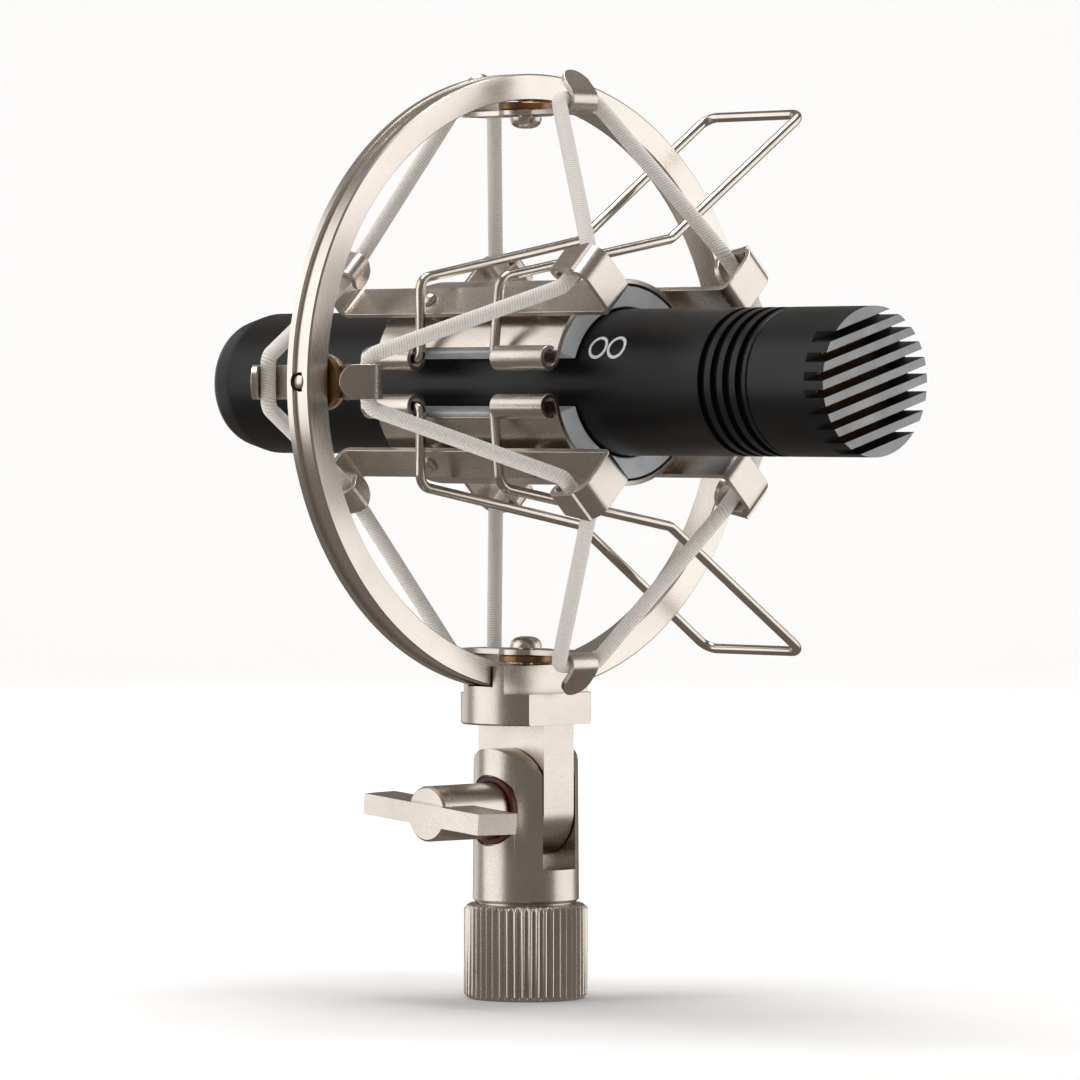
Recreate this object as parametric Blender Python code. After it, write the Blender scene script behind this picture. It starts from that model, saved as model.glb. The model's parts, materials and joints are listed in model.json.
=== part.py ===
"""End-address ribbon microphone in a spring-clip elastic shock mount on a swivel stand base.

Lengths are in millimetres and become metres in add_object. The origin is the centre of the
thread collar's bottom face, +Z runs up the stand, and the microphone looks along -Y.
"""

import math

import bmesh
import bpy
from mathutils import Vector

MM = 0.001

# Driving dimensions
RING_HEIGHT = 104.0
RING_OUT, RING_IN, RING_HALF = 52.0, 47.6, 2.7
COLLAR_R, COLLAR_TOP, COLLAR_FLUTES = 10.5, 16.0, 32
BARREL_R = 9.0
PIVOT_Z = 32.0
SLOT_HALF, TONGUE_HALF = 3.8, 3.5
BLOCK_R, BLOCK_BOTTOM = 11.0, 46.4
MIC_R, MIC_FRONT, MIC_SEAM, MIC_TAIL = 12.2, -81.0, 51.5, 68.0
LINER_IN, LINER_OUT = 12.5, 16.1
SHELL_IN, SHELL_OUT = 16.4, 17.2
SHELL_FRONT, SHELL_REAR = -24.5, 19.3
KNUCKLE = (-18.06, 4.0)
KNUCKLE_R, SHEET = 1.7, 0.8
STRIP_IN, STRIP_THICK, STRIP_WIDTH = 18.6, 0.9, 6.3
STRIP_FRONT, STRIP_REAR = -36.5, 29.0
HOOK_R, RETURN_LENGTH = 28.8, 9.5
RIVET_Y = (9.3, -16.0)
PLATE_IN, PLATE_THICK, HOOK_CORD_Y = 45.0, 0.9, -12.2
CORD_R, WIRE_R = 1.3, 0.85
GAP = 0.3

# name: (colour, metallic, roughness)
FINISHES = {
    "satin_nickel": ((0.70, 0.66, 0.61), 1.0, 0.34),
    "ring_nickel": ((0.72, 0.69, 0.65), 1.0, 0.3),
    "wire_nickel": ((0.70, 0.67, 0.63), 1.0, 0.24),
    "bronze": ((0.50, 0.34, 0.16), 1.0, 0.35),
    "black_anodised": ((0.012, 0.012, 0.014), 0.6, 0.42),
    "grille_grey": ((0.12, 0.12, 0.13), 0.8, 0.4),
    "copper_mesh": ((0.60, 0.33, 0.18), 1.0, 0.4),
    "liner_rubber": ((0.55, 0.60, 0.66), 0.0, 0.6),
    "elastic": ((0.62, 0.62, 0.60), 0.0, 0.8),
    "red_fibre": ((0.22, 0.03, 0.02), 0.0, 0.6),
    "black_plastic": ((0.02, 0.02, 0.02), 0.0, 0.4),
    "silver_pin": ((0.80, 0.79, 0.76), 1.0, 0.2),
    "magnet": ((0.45, 0.45, 0.46), 1.0, 0.3),
    "foil": ((0.85, 0.85, 0.86), 1.0, 0.3),
    "iron_core": ((0.25, 0.24, 0.24), 0.8, 0.5),
    "circuit_board": ((0.02, 0.18, 0.08), 0.0, 0.5),
}


def material(finish):
    found = bpy.data.materials.get(finish)
    if found:
        return found
    colour, metallic, roughness = FINISHES[finish]
    made = bpy.data.materials.new(finish)
    made.use_nodes = True
    made.diffuse_color = (*colour, 1)
    shader = made.node_tree.nodes["Principled BSDF"]
    shader.inputs["Base Color"].default_value = (*colour, 1)
    shader.inputs["Metallic"].default_value = metallic
    shader.inputs["Roughness"].default_value = roughness
    return made


def smooth(obj, angle=35):
    obj.data.shade_smooth()
    obj.data.set_sharp_from_angle(angle=math.radians(angle))


def add_object(name, points, faces, finish=None, origin=(0, 0, 0)):
    """One closed mesh, in millimetres, whose object origin sits on its joint's axis."""
    shift = Vector(origin)
    mesh = bpy.data.meshes.new(name)
    mesh.from_pydata([(Vector(p) - shift) * MM for p in points], [], faces)
    shape = bmesh.new()
    shape.from_mesh(mesh)
    bmesh.ops.remove_doubles(shape, verts=shape.verts, dist=1e-7)
    bmesh.ops.recalc_face_normals(shape, faces=shape.faces)
    shape.to_mesh(mesh)
    shape.free()
    obj = bpy.data.objects.new(name, mesh)
    obj.location = shift * MM
    bpy.context.scene.collection.objects.link(obj)
    if finish:
        mesh.materials.append(material(finish))
        smooth(obj)
    return obj


def boolean(obj, other, operation="DIFFERENCE"):
    """Applies an exact Boolean and removes the other shape."""
    modifier = obj.modifiers.new(operation, "BOOLEAN")
    modifier.operation, modifier.solver, modifier.object = operation, "EXACT", other
    bpy.context.view_layer.update()
    evaluated = obj.evaluated_get(bpy.context.evaluated_depsgraph_get())
    obj.data = bpy.data.meshes.new_from_object(evaluated)
    obj.modifiers.clear()
    bpy.data.objects.remove(other)
    if obj.data.materials:
        smooth(obj)
    return obj


def place(origin, across, along, out):
    """A function that maps local (a, b, c) to the world."""
    o, a, b, c = (Vector(v) for v in (origin, across, along, out))
    return lambda p, q, r: o + a * p + b * q + c * r


def radial(degrees):
    """Local axes at an angle round the ring: tangent, along Y, and outward from its centre."""
    t = math.radians(degrees)
    return place((0, 0, RING_HEIGHT), (math.sin(t), 0, -math.cos(t)), (0, 1, 0), (math.cos(t), 0, math.sin(t)))


WORLD = place((0, 0, 0), (1, 0, 0), (0, 1, 0), (0, 0, 1))
ALONG_MIC = place((0, 0, RING_HEIGHT), (0, 0, 1), (1, 0, 0), (0, 1, 0))
PIVOT = place((0, 0, PIVOT_Z), (0, 1, 0), (0, 0, 1), (1, 0, 0))
SIDE = place((0, 0, RING_HEIGHT), (1, 0, 0), (0, 0, 1), (0, 1, 0))


def lathe(name, profile, where, finish=None, segments=48, flutes=0, depth=0.0, origin=(0, 0, 0),
          phase=0.0):
    """Revolves a closed (radius, height) profile about the local third axis."""
    points, rings = [], []
    widest = max(r for r, _ in profile)
    if flutes:
        segments = 2 * flutes
    for r, h in profile:
        if r < 1e-6:
            rings.append([len(points)] * segments)
            points.append(where(0, 0, h))
            continue
        rings.append(list(range(len(points), len(points) + segments)))
        for k in range(segments):
            t = 2 * math.pi * (k + phase) / segments
            cut = depth if flutes and k % 2 and r > widest - 0.1 else 0.0
            points.append(where((r - cut) * math.cos(t), (r - cut) * math.sin(t), h))
    faces = []
    for first, second in zip(rings, rings[1:] + rings[:1]):
        for k in range(segments):
            m = (k + 1) % segments
            face = list(dict.fromkeys((first[k], first[m], second[m], second[k])))
            if len(face) > 2:
                faces.append(face)
    return add_object(name, points, faces, finish, origin)


def prism(name, outline, low, high, where, finish=None, origin=(0, 0, 0)):
    """Extrudes a closed (a, b) outline from low to high along the local third axis."""
    n = len(outline)
    points = [where(a, b, h) for h in (low, high) for a, b in outline]
    sides = [[k, (k + 1) % n, n + (k + 1) % n, n + k] for k in range(n)]
    return add_object(name, points, [list(range(n))[::-1], list(range(n, 2 * n)), *sides], finish, origin)


def box(name, a, b, c, where=WORLD, finish=None, origin=(0, 0, 0)):
    outline = [(a[0], b[0]), (a[1], b[0]), (a[1], b[1]), (a[0], b[1])]
    return prism(name, outline, c[0], c[1], where, finish, origin)


def cylinder(name, r, low, high, where, segments=16, finish=None, origin=(0, 0, 0)):
    return lathe(name, [(0, low), (r, low), (r, high), (0, high)], where, finish, segments, origin=origin, phase=0.37)


def arc(centre, r, start, end, steps):
    """Points of a circular arc in a plane, in degrees."""
    angles = [math.radians(start + (end - start) * k / steps) for k in range(steps + 1)]
    return [(centre[0] + r * math.cos(t), centre[1] + r * math.sin(t)) for t in angles]


def rounded(points, radius, steps=4, closed=False):
    """Rounds the corners of a polyline with arcs. A radius may be given for each point."""
    points = [Vector(p) for p in points]
    radii = radius if isinstance(radius, (list, tuple)) else [radius] * len(points)
    out = []
    for k, corner in enumerate(points):
        if not closed and k in (0, len(points) - 1):
            out.append(corner)
            continue
        before = (points[k - 1] - corner).normalized()
        after = (points[(k + 1) % len(points)] - corner).normalized()
        half = before.angle(after) / 2
        if radii[k] <= 0 or half > math.radians(89):
            out.append(corner)
            continue
        reach = radii[k] / math.tan(half)
        middle = corner + (before + after).normalized() * (radii[k] / math.sin(half))
        start, end = corner + before * reach - middle, corner + after * reach - middle
        turn = start.angle(end)
        for s in range(steps + 1):
            t = s / steps
            out.append(middle + (start * math.sin((1 - t) * turn) + end * math.sin(t * turn)) / math.sin(turn))
    return out


def tube(name, path, radius, sides, finish, closed=False, origin=(0, 0, 0)):
    """A round tube along a path, with frames carried along it and the leftover twist spread out."""
    path = [Vector(p) for p in path]
    n = len(path)
    tangents = []
    for k in range(n):
        if closed:
            tangents.append((path[(k + 1) % n] - path[k - 1]).normalized())
        else:
            tangents.append((path[min(k + 1, n - 1)] - path[max(k - 1, 0)]).normalized())
    normal = tangents[0].orthogonal().normalized()
    normals = [normal]
    for k in range(1, n + closed):
        turn = tangents[k - 1].rotation_difference(tangents[k % n])
        normals.append((turn @ normals[-1]).normalized())
    twist = 0.0
    if closed:
        last, first = normals.pop(), normals[0]
        twist = math.atan2(last.cross(first).dot(tangents[0]), last.dot(first))
    points = []
    for k in range(n):
        side = tangents[k].cross(normals[k])
        for s in range(sides):
            t = 2 * math.pi * s / sides + twist * k / n
            points.append(path[k] + (normals[k] * math.cos(t) + side * math.sin(t)) * radius)
    faces = []
    for k in range(n if closed else n - 1):
        m = (k + 1) % n
        for s in range(sides):
            u = (s + 1) % sides
            faces.append([k * sides + s, k * sides + u, m * sides + u, m * sides + s])
    if not closed:
        faces += [list(range(sides))[::-1], list(range((n - 1) * sides, n * sides))]
    return add_object(name, points, faces, finish, origin)


def strip(name, stations, thickness, where, finish=None, origin=(0, 0, 0)):
    """A bent sheet-metal strip. Stations are (along, out, half width) on its middle line."""
    line = [Vector((v, w)) for v, w, _ in stations]
    points = []
    for k, (v, w, half) in enumerate(stations):
        before, after = line[max(k - 1, 0)], line[min(k + 1, len(line) - 1)]
        run = (after - before).normalized()
        normal = Vector((-run.y, run.x))
        if 0 < k < len(line) - 1:
            normal /= max(0.5, math.cos((line[k] - before).angle(after - line[k]) / 2))
        for u, side in ((-half, -1), (half, -1), (half, 1), (-half, 1)):
            points.append(where(u, v + normal.x * side * thickness / 2, w + normal.y * side * thickness / 2))
    n = len(stations)
    faces = [[0, 1, 2, 3], [4 * n - 4, 4 * n - 1, 4 * n - 2, 4 * n - 3]]
    for k in range(n - 1):
        for s in range(4):
            t = (s + 1) % 4
            faces.append([4 * k + s, 4 * k + 4 + s, 4 * k + 4 + t, 4 * k + t])
    return add_object(name, points, faces, finish, origin)


def round_tip(start, end, half, steps=4):
    """Stations for a half-round end, from the tip at start towards end."""
    start, run = Vector(start), (Vector(end) - Vector(start)).normalized()
    out = []
    for k in range(steps):
        t = math.radians(90 * (k + 0.35) / steps)
        p = start + run * half * (1 - math.cos(t))
        out.append((p.x, p.y, half * math.sin(t)))
    return out


# ---------------------------------------------------------------- swivel stand base
TILT_AXIS = (0, 0, PIVOT_Z)


def add_thread_collar():
    """Knurled captive collar with the stand's thread bore, a web and a socket for the fork's foot."""
    lathe(
        "thread_collar",
        [(7.95, 0), (COLLAR_R - 0.8, 0), (COLLAR_R, 0.8), (COLLAR_R, COLLAR_TOP - 0.8), (COLLAR_R - 0.8, COLLAR_TOP),
         (8.4, COLLAR_TOP), (8.4, 13.2), (4.9, 13.2), (4.9, 11.4), (7.95, 11.4)],
        WORLD, "satin_nickel", flutes=COLLAR_FLUTES, depth=0.45,
    )


def add_swivel_fork():
    foot = 13.5
    fork = lathe(
        "swivel_fork",
        [(0, 9.4), (4.5, 9.4), (4.5, foot), (8.1, foot), (8.1, COLLAR_TOP + 0.3), (BARREL_R - 0.5, COLLAR_TOP + 0.3),
         (BARREL_R, COLLAR_TOP + 0.8), (BARREL_R - 0.2, 43), (0, 43)],
        WORLD, "satin_nickel", 48,
    )
    outline = [(-12, 8), (12, 8), (12, PIVOT_Z), *arc((0, 33.0), 9.4, 0, 180, 16), (-12, PIVOT_Z)]
    boolean(fork, prism("top", outline, -12, 12, place((0, 0, 0), (0, 1, 0), (0, 0, 1), (1, 0, 0))), "INTERSECT")
    slot = [(-SLOT_HALF, 22), (SLOT_HALF, 22), (SLOT_HALF, 50), (-SLOT_HALF, 50)]
    boolean(fork, prism("slot", slot, -12, 12, place((0, 0, 0), (1, 0, 0), (0, 0, 1), (0, 1, 0))))
    boolean(fork, cylinder("bore", 2.75, -12, 12, PIVOT, 20))
    boolean(fork, cylinder("hub_recess", 6.0, -12, -7.4, PIVOT, 28))
    boolean(fork, cylinder("head_recess", 3.4, 7.6, 12, PIVOT, 20))
    boolean(fork, cylinder("screw_hole", 1.6, 5, 12.0, WORLD, 12))


def add_pan_retainer():
    """Shouldered screw under the collar's web that keeps the fork in its socket."""
    lathe(
        "pan_retainer",
        [(0, 7.4), (2.6, 7.4), (3.0, 7.7), (3.0, 8.4), (6.4, 8.4), (6.4, 9.1), (1.35, 9.1), (1.35, 11.6), (0, 11.6)],
        WORLD, "satin_nickel", 24,
    )


def add_pivot():
    """Slotted pivot bolt, the wing nut on its free end and the fibre washer round the nut's hub."""
    bolt = lathe(
        "pivot_bolt",
        [(0, -20), (2.3, -20), (2.45, -19.7), (2.45, 7.9), (3.1, 7.9), (3.1, 8.7), (2.7, 9.0), (0, 9.0)],
        PIVOT, "satin_nickel", 20, origin=TILT_AXIS,
    )
    boolean(bolt, box("slot", (-0.4, 0.4), (-4, 4), (8.3, 10), PIVOT))
    lathe(
        "fibre_washer", [(4.9, -8.3), (5.7, -8.3), (5.7, -7.6), (2.8, -7.6), (2.8, -7.9), (4.9, -7.9)],
        PIVOT, "red_fibre", 24, origin=TILT_AXIS,
    )
    nut = lathe(
        "wing_nut",
        [(2.75, -8.2), (4.4, -8.2), (4.7, -8.5), (4.65, -22.8), (4.4, -23.1), (0, -23.1), (0, -20.6), (2.75, -20.6)],
        PIVOT, "satin_nickel", 28, origin=TILT_AXIS,
    )
    turn = math.radians(5)
    wing = place((0, 0, PIVOT_Z), (0, math.cos(turn), math.sin(turn)), (1, 0, 0), (0, -math.sin(turn), math.cos(turn)))
    bar = [(-14.0, -24.4), (14.0, -24.4), (15.0, -16.5), (-15.0, -16.5)]
    paddle = prism("paddle", bar, -1.75, 1.75, wing)
    boolean(paddle, cylinder("bolt_room", 3.3, -21, -10, PIVOT, 20))
    boolean(nut, paddle, "UNION")


def add_ring_stem():
    """Tongue in the fork, the round block and the saddle walls either side of the ring."""
    stem = lathe("ring_stem", [(0, BLOCK_BOTTOM), (BLOCK_R - 0.5, BLOCK_BOTTOM), (BLOCK_R, BLOCK_BOTTOM + 0.5),
                               (BLOCK_R, 56.0), (BLOCK_R - 0.4, 56.4), (0, 56.4)], WORLD, "satin_nickel", 48,
                 origin=TILT_AXIS)
    for side in (-1, 1):
        boolean(stem, box("flat", (-15, 15), (side * 8.3, side * 20) if side > 0 else (-20, -8.3), (40, 60)))
        wall = (4.9, 20) if side > 0 else (-20, -4.9)
        boolean(stem, box("wall_cut", (-15, 15), wall, (51.7, 60)))
    boolean(stem, cylinder("ring_slot", RING_OUT + 0.2, -RING_HALF - GAP, RING_HALF + GAP, ALONG_MIC, 180))
    outline = [(-8.0, 48), *arc((0, PIVOT_Z), 8.0, 180, 360, 20), (8.0, 48)]
    tongue = prism("tongue", outline, -TONGUE_HALF, TONGUE_HALF, place((0, 0, 0), (0, 1, 0), (0, 0, 1), (1, 0, 0)))
    boolean(stem, tongue, "UNION")
    boolean(stem, cylinder("bore", 2.75, -12, 12, PIVOT, 20))
    boolean(stem, cylinder("screw_hole", 1.55, 48, 60, WORLD, 12))


# ---------------------------------------------------------------- suspension ring and its hooks
HOOK_ANGLES = {"right": 0.0, "top": 90.0, "left": 180.0, "bottom": 270.0}


def add_suspension_ring():
    rim = RING_HALF - 1.1
    ring = lathe(
        "suspension_ring",
        [(RING_IN, -RING_HALF), (RING_OUT, -RING_HALF), (RING_OUT, -RING_HALF + rim),
         (RING_OUT - 0.6, -RING_HALF + rim + 0.1), (RING_OUT - 0.6, RING_HALF - rim - 0.1),
         (RING_OUT, RING_HALF - rim), (RING_OUT, RING_HALF), (RING_IN, RING_HALF)],
        ALONG_MIC, "ring_nickel", 72, origin=TILT_AXIS,
    )
    for degrees in HOOK_ANGLES.values():
        boolean(ring, cylinder("hole", 1.55, RING_IN - 3, RING_OUT + 3, radial(degrees), 12))


def add_hook_plate(side, degrees):
    """Sheet-metal double hook: each end is bent back over itself to hold an elastic cord."""
    mid = PLATE_IN + PLATE_THICK / 2
    bend = CORD_R + PLATE_THICK / 2 + 0.2
    centre = (HOOK_CORD_Y, mid + bend)
    tip = (-10.5, 52.3)
    slope = Vector(tip) - Vector(centre)
    touch = math.degrees(math.atan2(slope.y, slope.x) + math.acos(bend / slope.length))
    curl = arc(centre, bend, touch, 270, 8)
    stations = round_tip(tip, curl[0], 2.85) + [(*p, 2.85) for p in curl]
    stations += [(-8.5, mid, 3.2), (-5.0, mid, 4.4), (-4.0, mid, 4.5)]
    stations += [(-v, w, h) for v, w, h in reversed(stations)]
    where = radial(degrees)
    plate = strip(f"hook_plate_{side}", stations, PLATE_THICK, where, "satin_nickel", TILT_AXIS)
    boolean(plate, cylinder("hole", 1.55, 43, 47, where, 12))
    lathe(f"hook_spacer_{side}", [(1.6, 46.0), (4.6, 46.0), (4.6, 47.2), (1.6, 47.2)], where, "bronze", 24,
          origin=TILT_AXIS)
    reach = 53.5 if side == "bottom" else RING_OUT - 0.1
    lathe(f"hook_screw_{side}",
          [(0, 42.8), (1.6, 42.9), (2.4, 43.5), (2.7, 44.3), (2.7, 44.8), (1.3, 44.8), (1.3, reach - 0.2), (1.1, reach),
           (0, reach)],
          where, "satin_nickel", 16, origin=TILT_AXIS)


# ---------------------------------------------------------------- cradle
CORNERS = {"upper_right": 45.0, "upper_left": 135.0, "lower_left": 225.0, "lower_right": 315.0}
CRADLE = (0, 0, RING_HEIGHT)


def shell_line():
    """Middle line of the spring shell: a curl, the round body, and the other curl."""
    r = (SHELL_IN + SHELL_OUT) / 2
    lean = math.degrees(math.atan2(KNUCKLE[1], -KNUCKLE[0]))
    upper = arc(KNUCKLE, KNUCKLE_R, -lean - 290, -lean, 10)
    body = arc((0, 0), r, 180 - lean - 4, -180 + lean + 4, 40)
    lower = [(a, -b) for a, b in reversed(upper)]
    return upper + body + lower


def sheet_outline(line, thickness):
    """The closed outline of a sheet that follows a middle line."""
    line = [Vector(p) for p in line]
    sides = ([], [])
    for k, p in enumerate(line):
        run = (line[min(k + 1, len(line) - 1)] - line[max(k - 1, 0)]).normalized()
        normal = Vector((-run.y, run.x)) * thickness / 2
        sides[0].append(p + normal)
        sides[1].append(p - normal)
    return sides[0] + sides[1][::-1]


def add_clamp():
    shell = prism("clamp_shell", sheet_outline(shell_line(), SHEET), SHELL_FRONT, SHELL_REAR, SIDE, "satin_nickel",
                  CRADLE)
    for side in (-1, 1):
        low, high = sorted((side * 2.0, side * 9.0))
        upright = place((0, 0, RING_HEIGHT), (1, 0, 0), (0, 0, 1), (0, 1, 0))
        boolean(shell, box("between", (-22, -SHELL_IN - 0.35), (low, high), (-12.2, 7.7), upright))
        low, high = sorted((side * 1.5, side * 5.8))
        boolean(shell, box("edge", (-22, -14.0), (low, high), (-12.2, 7.7), upright))
    opening = 18.0
    liner = [*arc((0, 0), LINER_OUT, 180 - opening, -180 + opening, 36),
             *arc((0, 0), LINER_IN, -180 + opening, 180 - opening, 36)]
    prism("clamp_liner", liner, SHELL_FRONT + 0.2, SHELL_REAR - 0.2, SIDE, "liner_rubber", CRADLE)


def strip_stations():
    """Middle line of a cradle strip: a square hook at each end of a flat strip."""
    t = STRIP_THICK / 2
    low, high = STRIP_IN + t, HOOK_R - t
    stations = []
    for sign, end in ((-1, STRIP_FRONT), (1, STRIP_REAR)):
        wall, back = end - sign * t, end - sign * (RETURN_LENGTH - 0.4)
        tip = (end - sign * 6.4, high - 4.9)
        path = rounded([tip, (back, high), (wall, high), (wall, low), (0, low)], [0, 1.2, 1.7, 1.4, 0], 3)
        tongue = round_tip(tip, path[1], 2.3, 3)
        half = tongue + [(p.x, p.y, 2.3) for p in path[1:3]]
        half += [(p.x, p.y, 2.6) for p in path[3:5]]
        half += [(p.x + (sign * 1.2 if k == 0 else 0), p.y, STRIP_WIDTH / 2) for k, p in enumerate(path[4:-1])]
        stations.append(half)
    return stations[0] + stations[1][::-1]


def add_strip(corner, degrees):
    where = radial(degrees)
    obj = strip(f"cradle_strip_{corner}", strip_stations(), STRIP_THICK, where, "satin_nickel", CRADLE)
    for k, y in enumerate(RIVET_Y):
        spot = place(where(0, y, 0), where(1, 0, 0) - where(0, 0, 0), where(0, 1, 0) - where(0, 0, 0),
                     where(0, 0, 1) - where(0, 0, 0))
        boolean(obj, cylinder("hole", 1.15, 18, 20, spot, 8))
        top = STRIP_IN + STRIP_THICK
        lathe(f"rivet_{corner}_{'rear' if k == 0 else 'front'}",
              [(0, SHELL_OUT + 0.1), (1.7, SHELL_OUT + 0.1), (1.7, STRIP_IN - 0.1), (0.9, STRIP_IN - 0.1), (0.9, top + 0.1), (1.7, top + 0.1),
               (1.4, top + 0.8), (0, top + 1.2)],
              spot, "satin_nickel", 8, origin=CRADLE)


def add_elastic(name, side):
    """A closed elastic loop that zigzags between the ring's hooks and the cradle's hooks."""
    ring_y = -side * HOOK_CORD_Y
    cradle_y = STRIP_FRONT + 5.2 if side < 0 else STRIP_REAR - 5.2
    corners = []
    for step in range(8):
        where = radial(90 + 45 * step)
        if step % 2:
            corners += [where(s, cradle_y, 26.35) for s in (4.2, -4.2)]
        else:
            corners += [where(s, ring_y, PLATE_IN + PLATE_THICK + CORD_R + 0.2) for s in (4.2, -4.2)]
    tube(name, rounded(corners, 2.2, 3, closed=True), CORD_R, 8, "elastic", closed=True, origin=CRADLE)


def add_handle(name, sign):
    """Spring wire lever: its ends sit in the knuckles and its loop reaches past the ring."""
    x, z = KNUCKLE
    legs = []
    for y_end, y_leg, y_bend, y_kink, y_top in ((13.5, 6.6, 7.4, 8.8, 9.2), (-18.5, -11.1, -12.0, -13.3, -13.7)):
        legs.append([(x, y_end, z), (x, y_leg, z), (-17.5, y_bend, 17.4), (21.3, y_kink, 24.4), (53.0, y_top, 46.4)])
    path = legs[0] + legs[1][::-1]
    radii = [0, 1.3, 2.6, 3.0, 2.4, 2.4, 3.0, 2.6, 1.3, 0]
    points = [(a, b, RING_HEIGHT + sign * c) for a, b, c in rounded(path, radii, 3)]
    tube(name, points, WIRE_R, 8, "wire_nickel", origin=(x, 0, RING_HEIGHT + sign * z))


# ---------------------------------------------------------------- microphone
MIC = (0, 0, RING_HEIGHT)
HEAD_SEAM, SPIGOT_R, BORE_R = -64.05, 10.95, 11.25
GROOVES = (-53.55, -56.4, -59.2, -62.05)
BAR_PITCH, BAR_SLOT, BAR_TURN, BAR_DEPTH = 2.75, 1.35, 16.0, 4.2


def add_head_grille():
    floor = MIC_FRONT + BAR_DEPTH
    head = lathe(
        "head_grille",
        [(0, MIC_FRONT), (MIC_R - 0.35, MIC_FRONT), (MIC_R, MIC_FRONT + 0.35), (MIC_R, HEAD_SEAM), (11.6, HEAD_SEAM),
         (11.6, HEAD_SEAM + 0.2), (SPIGOT_R, HEAD_SEAM + 0.2), (SPIGOT_R, -57.5), (10.1, -57.5), (10.1, -74.0),
         (9.3, -75.0), (9.3, floor), (0, floor)],
        ALONG_MIC, "grille_grey", 40, origin=MIC,
    )
    t = math.radians(BAR_TURN)
    turned = place(MIC, (math.cos(t), 0, math.sin(t)), (-math.sin(t), 0, math.cos(t)), (0, 1, 0))
    for k in range(8):
        middle = (k - 3.5) * BAR_PITCH
        boolean(head, box("slot", (-16, 16), (middle - BAR_SLOT / 2, middle + BAR_SLOT / 2),
                          (MIC_FRONT - 1, floor + 0.05), turned))


def add_barrel():
    outer = [(MIC_R, HEAD_SEAM + 0.3)]
    for y in reversed(GROOVES):
        outer += [(MIC_R, y - 0.75), (MIC_R - 0.65, y - 0.6), (MIC_R - 0.65, y + 0.6), (MIC_R, y + 0.75)]
    lathe("barrel", [*outer, (MIC_R, MIC_SEAM), (BORE_R, MIC_SEAM), (BORE_R, HEAD_SEAM + 0.3)],
          ALONG_MIC, "black_anodised", 40, origin=MIC)


def add_tail():
    """Tail sleeve with the connector's socket, its set screw, the insert and three pins."""
    seam, end = MIC_SEAM, MIC_TAIL
    lathe(
        "tail_sleeve",
        [(MIC_R, seam + 0.3), (MIC_R, end - 6.5), (MIC_R - 0.3, end - 5.0), (MIC_R - 1.1, end - 1.4),
         (MIC_R - 1.7, end - 0.3), (MIC_R - 2.6, end), (8.2, end), (8.2, end - 12.5), (9.6, end - 12.5),
         (9.6, seam - 7), (SPIGOT_R, seam - 7), (SPIGOT_R, seam + 0.3)],
        ALONG_MIC, "black_anodised", 40, origin=MIC,
    )
    screw_place = place((0, seam - 4.5, RING_HEIGHT), (0, 1, 0), (0, 0, 1), (-1, 0, 0))
    boolean(bpy.data.objects["barrel"], cylinder("hole", 1.3, 9, 14, screw_place, 12))
    lathe("tail_set_screw", [(0, SPIGOT_R + 0.2), (1.05, SPIGOT_R + 0.2), (1.05, 11.9), (0.5, 11.9), (0.5, 11.5),
                             (0, 11.5)], screw_place, "copper_mesh", 12, origin=MIC)
    insert = lathe("xlr_insert", [(0, end - 18), (9.3, end - 18), (9.3, end - 12.8), (7.9, end - 12.8), (7.9, end - 12), (0, end - 12)],
                   ALONG_MIC, "black_plastic", 32, origin=MIC)
    for number, (x, z) in enumerate(((3.5, 2.0), (-3.5, 2.0), (0.0, -4.0)), 1):
        axis = place((x, 0, RING_HEIGHT + z), (1, 0, 0), (0, 0, 1), (0, 1, 0))
        boolean(insert, cylinder("hole", 1.35, end - 24, end - 8, axis, 12))
        lathe(f"xlr_pin_{number}", [(0, end - 20), (0.8, end - 20), (1.15, end - 19.6), (1.15, end - 2.6), (0.7, end - 1.8),
                                    (0, end - 1.7)], axis,
              "silver_pin", 12, origin=MIC)


def add_motor():
    """Mesh screen, yoke ring, magnets, corrugated ribbon and its clamps, behind the slotted head."""
    lathe("mesh_screen", [(0, -76.5), (8.9, -76.5), (8.9, -75.9), (0, -75.9)], ALONG_MIC, "copper_mesh", 32, origin=MIC)
    yoke = cylinder("motor_yoke", 9.7, -71.0, -66.0, ALONG_MIC, 32, "iron_core", MIC)
    boolean(yoke, box("window", (-2.2, 2.2), (-5.8, 5.8), (-72, -65), SIDE))
    for side, x in (("left", -4.5), ("right", 4.5)):
        box(f"magnet_{side}", (x - 2.0, x + 2.0), (-6.0, 6.0), (-74.9, -71.2), SIDE, "magnet", MIC)
    folds, half = 22, 7.9
    line = [(z, (0.28 if k % 2 else -0.28)) for k, z in
            ((k, -half + 2 * half * k / folds) for k in range(folds + 1))]
    ribbon_place = place((0, -73.2, RING_HEIGHT), (1, 0, 0), (0, 0, 1), (0, 1, 0))
    strip("ribbon", [(a, b, 1.9) for a, b in line], 0.2, ribbon_place, "foil", MIC)
    for side, sign in (("top", 1), ("bottom", -1)):
        low, high = sorted((sign * 6.3, sign * 8.6))
        box(f"ribbon_clamp_{side}", (-3.0, 3.0), (low, high), (-72.6, -71.2), SIDE, "silver_pin", MIC)


def add_electronics():
    case = [(-6.0, -7.0), (6.0, -7.0), (6.6, -6.4), (6.6, 6.4), (6.0, 7.0), (-6.0, 7.0), (-6.6, 6.4), (-6.6, -6.4)]
    prism("transformer", case, -50, -27, SIDE, "iron_core", MIC)
    box("circuit_board", (-6.6, 6.6), (-8.6, -7.4), (-55.5, 43), SIDE, "circuit_board", MIC)


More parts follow.
